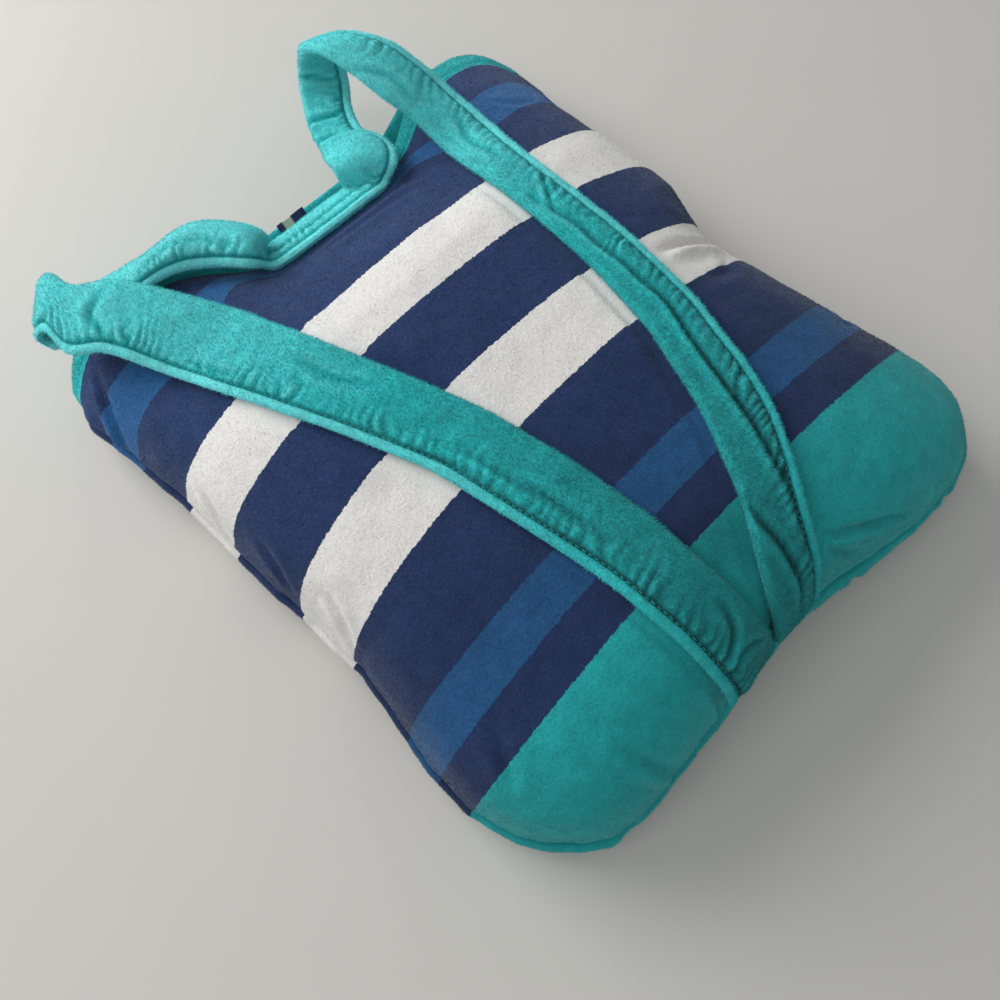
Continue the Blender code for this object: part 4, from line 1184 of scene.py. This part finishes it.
def build_label(material):
    """A small tape tab sewn inside the lower hem, a patch of its pale reverse turned up."""
    grid_s, grid_t = np.meshgrid(np.linspace(*LABEL_S, LABEL_COLUMNS), np.linspace(*LABEL_T, LABEL_ROWS))
    base = lower_point(grid_s, grid_t)
    inward = -outward(lower_point, grid_s, grid_t)
    run = np.linspace(0, 1, LABEL_ROWS)[:, None]
    lift = HEM_THICKNESS + 0.0012 + 0.003 * run ** 2 + 0.0004 * np.cos(9 * grid_s / 0.03)
    face, back = (base + inward * (lift + more)[..., None] for more in (0, LABEL_THICKNESS))
    outer = np.concatenate([face, back[:, ::-1]], 1)
    reverse = np.zeros(outer.shape[:2])
    reverse[11:, LABEL_COLUMNS + 5:LABEL_COLUMNS + 10] = 1
    reverse[4:11, LABEL_COLUMNS + 5] = 1
    return make_piece("label_tab", outer, tube_faces(*outer.shape[:2]), material, {"reverse": reverse})


# ---- stage ----
CAMERA_AT = (-0.168037, -0.150736, 0.453414)
CAMERA_RIGHT = (0.7, -0.714, 0.031)
CAMERA_UP = (0.664, 0.666, 0.34)
FOCAL = 30.62             # on a 36 mm wide sensor


def set_camera():
    right = Vector(CAMERA_RIGHT).normalized()
    up = Vector(CAMERA_UP)
    up = (up - right * up.dot(right)).normalized()
    back = right.cross(up)
    lens = bpy.data.cameras.new("camera")
    lens.sensor_width = 36
    lens.lens = FOCAL
    lens.clip_start = 0.01
    camera = bpy.data.objects.new("camera", lens)
    bpy.context.scene.collection.objects.link(camera)
    rows = [(right[k], up[k], back[k], CAMERA_AT[k]) for k in range(3)]
    camera.matrix_world = Matrix((*rows, (0, 0, 0, 1)))
    bpy.context.scene.camera = camera


SKY = 0.33
LAMPS = (("window", (-0.45, 1.75, 0.95), 1.5, 42.0), ("room", (-1.1, 0.2, 1.5), 1.2, 7.0))


def set_light():
    scene = bpy.context.scene
    scene.view_settings.view_transform = "Standard"
    world = bpy.data.worlds.new("soft_room")
    scene.world = world
    world.use_nodes = True
    sky = world.node_tree.nodes["Background"]
    sky.inputs["Color"].default_value = (0.96, 0.98, 1.0, 1)
    sky.inputs["Strength"].default_value = SKY
    for name, place, size, power in LAMPS:
        light = bpy.data.lights.new(name, "AREA")
        light.size = size
        light.energy = power
        lamp = bpy.data.objects.new(name, light)
        scene.collection.objects.link(lamp)
        lamp.location = place
        lamp.rotation_euler = (Vector((0, 0, 0)) - Vector(place)).to_track_quat("-Z", "Y").to_euler()


def set_floor():
    half = 2.5
    mesh = bpy.data.meshes.new("table_surface")
    mesh.from_pydata([(-half, -half, 0), (half, -half, 0), (half, half, 0), (-half, half, 0)], [],
                     [(0, 1, 2, 3)])
    floor = bpy.data.objects.new("table_surface", mesh)
    bpy.context.scene.collection.objects.link(floor)
    mesh.materials.append(table_top())
    floor.location.z = -0.0002


# ---- build ----
STRIPED_LOOK = {"colour": None, "light": 0.26, "sheen": 0.16}
PLAIN_LOOK = {"colour": TURQUOISE, "light": 0.42, "sheen": 0.2}
PANEL_LEAN = (0.25, -0.5, 0)          # which way the pile of the panels, the strap and the hems leans
STRAP_LEAN = (0, -0.4, 0)


def main():
    set_camera()
    set_light()
    set_floor()
    striped = velour("striped_velour_cloth", depth=0.55, **STRIPED_LOOK)
    striped_pile = velour("striped_velour_pile", blade=True, **STRIPED_LOOK)
    turquoise = velour("turquoise_velour_cloth", **PLAIN_LOOK)
    turquoise_pile = velour("turquoise_velour_pile", blade=True, **PLAIN_LOOK)
    thread = thread_cloth()

    centre, where, neck = strap_centre()
    upper, upper_grid, upper_normals, upper_cut, mask = build_panel(
        "upper_panel_cloth", upper_point, panel_columns(84, 42), panel_rows(74, 110, 66),
        UPPER_CREASES, striped, centre)
    lower, lower_grid, lower_normals, lower_cut, _ = build_panel(
        "lower_panel_cloth", lower_point, panel_columns(58, 34), panel_rows(60, 74, 50),
        LOWER_CREASES, striped, centre)
    upper_hem, upper_over, _, *upper_seam = build_hem("upper_hem_band", upper_point, turquoise)
    lower_hem, _, lower_under, *lower_seam = build_hem("lower_hem_band", lower_point, turquoise)
    strap, sides, groove = build_strap(centre, where, neck, turquoise)
    towel = build_towel(turquoise)
    label = build_label(label_cloth())

    # the pile carries the same painted light and shade as the panels
    upper_values = {"cut": upper_cut, "shade": painted_light_along(upper_grid, PANEL_PAINTED_LIGHT)}
    lower_values = {"cut": lower_cut, "shade": painted_light_along(lower_grid, PANEL_PAINTED_LIGHT)}
    off_table = (lower_grid[..., 2] > RESTING) * 1.0
    (over, over_normals, over_shade), (under, under_normals, under_shade) = sides
    share = 1.0
    upper_pile, lower_pile, over_pile, under_pile, upper_hem_pile, lower_hem_pile = (
        pile(name, grid, normals, values, int(count * share), length * MM, lean, seed, material, keep)
        for name, grid, normals, values, count, length, lean, seed, material, keep in (
            ("upper_panel_pile", upper_grid, upper_normals, upper_values, 170000, 0.85, PANEL_LEAN, 61,
             striped_pile, 1 - mask),
            ("lower_panel_pile", lower_grid, lower_normals, lower_values, 60000, 0.9, PANEL_LEAN, 71,
             striped_pile, off_table),
            ("strap_pile_over", over, over_normals, {"shade": over_shade}, 150000, 1.5, STRAP_LEAN, 81,
             turquoise_pile, None),
            ("strap_pile_under", under, under_normals, {"shade": under_shade}, 90000, 1.5, STRAP_LEAN, 91,
             turquoise_pile, None),
            ("upper_hem_pile", upper_over, -grid_normals(upper_over), {}, 22000, 1.1, STRAP_LEAN, 101,
             turquoise_pile, None),
            ("lower_hem_pile", lower_under, -grid_normals(lower_under), {}, 22000, 1.1, STRAP_LEAN, 111,
             turquoise_pile, None)))
    over_stitch = stitches("strap_stitching_over", over[:, groove], over_normals[:, groove], thread, 3)
    under_stitch = stitches("strap_stitching_under", under[:, groove], under_normals[:, groove], thread, 4)
    upper_stitch = stitches("upper_hem_stitching", *upper_seam, thread, 5)
    lower_stitch = stitches("lower_hem_stitching", *lower_seam, thread, 6)

    pieces = {
        "striped_velour": [upper, lower, upper_pile, lower_pile],
        "hem_velour": [upper_hem, lower_hem, upper_hem_pile, lower_hem_pile, upper_stitch, lower_stitch],
        "strap_velour": [strap, over_pile, under_pile, over_stitch, under_stitch],
        "towel_velour": [towel],
        "label_cloth": [label],
    }
    for slot, things in pieces.items():
        for thing in things:
            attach(thing, "root")
    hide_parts("upper_panel")
    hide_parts("lower_panel")
    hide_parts("upper_hem")
    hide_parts("lower_hem")
    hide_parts("strap_left", "strap_neck", "strap_right")
    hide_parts("folded_towel")
    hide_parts("label")


main()
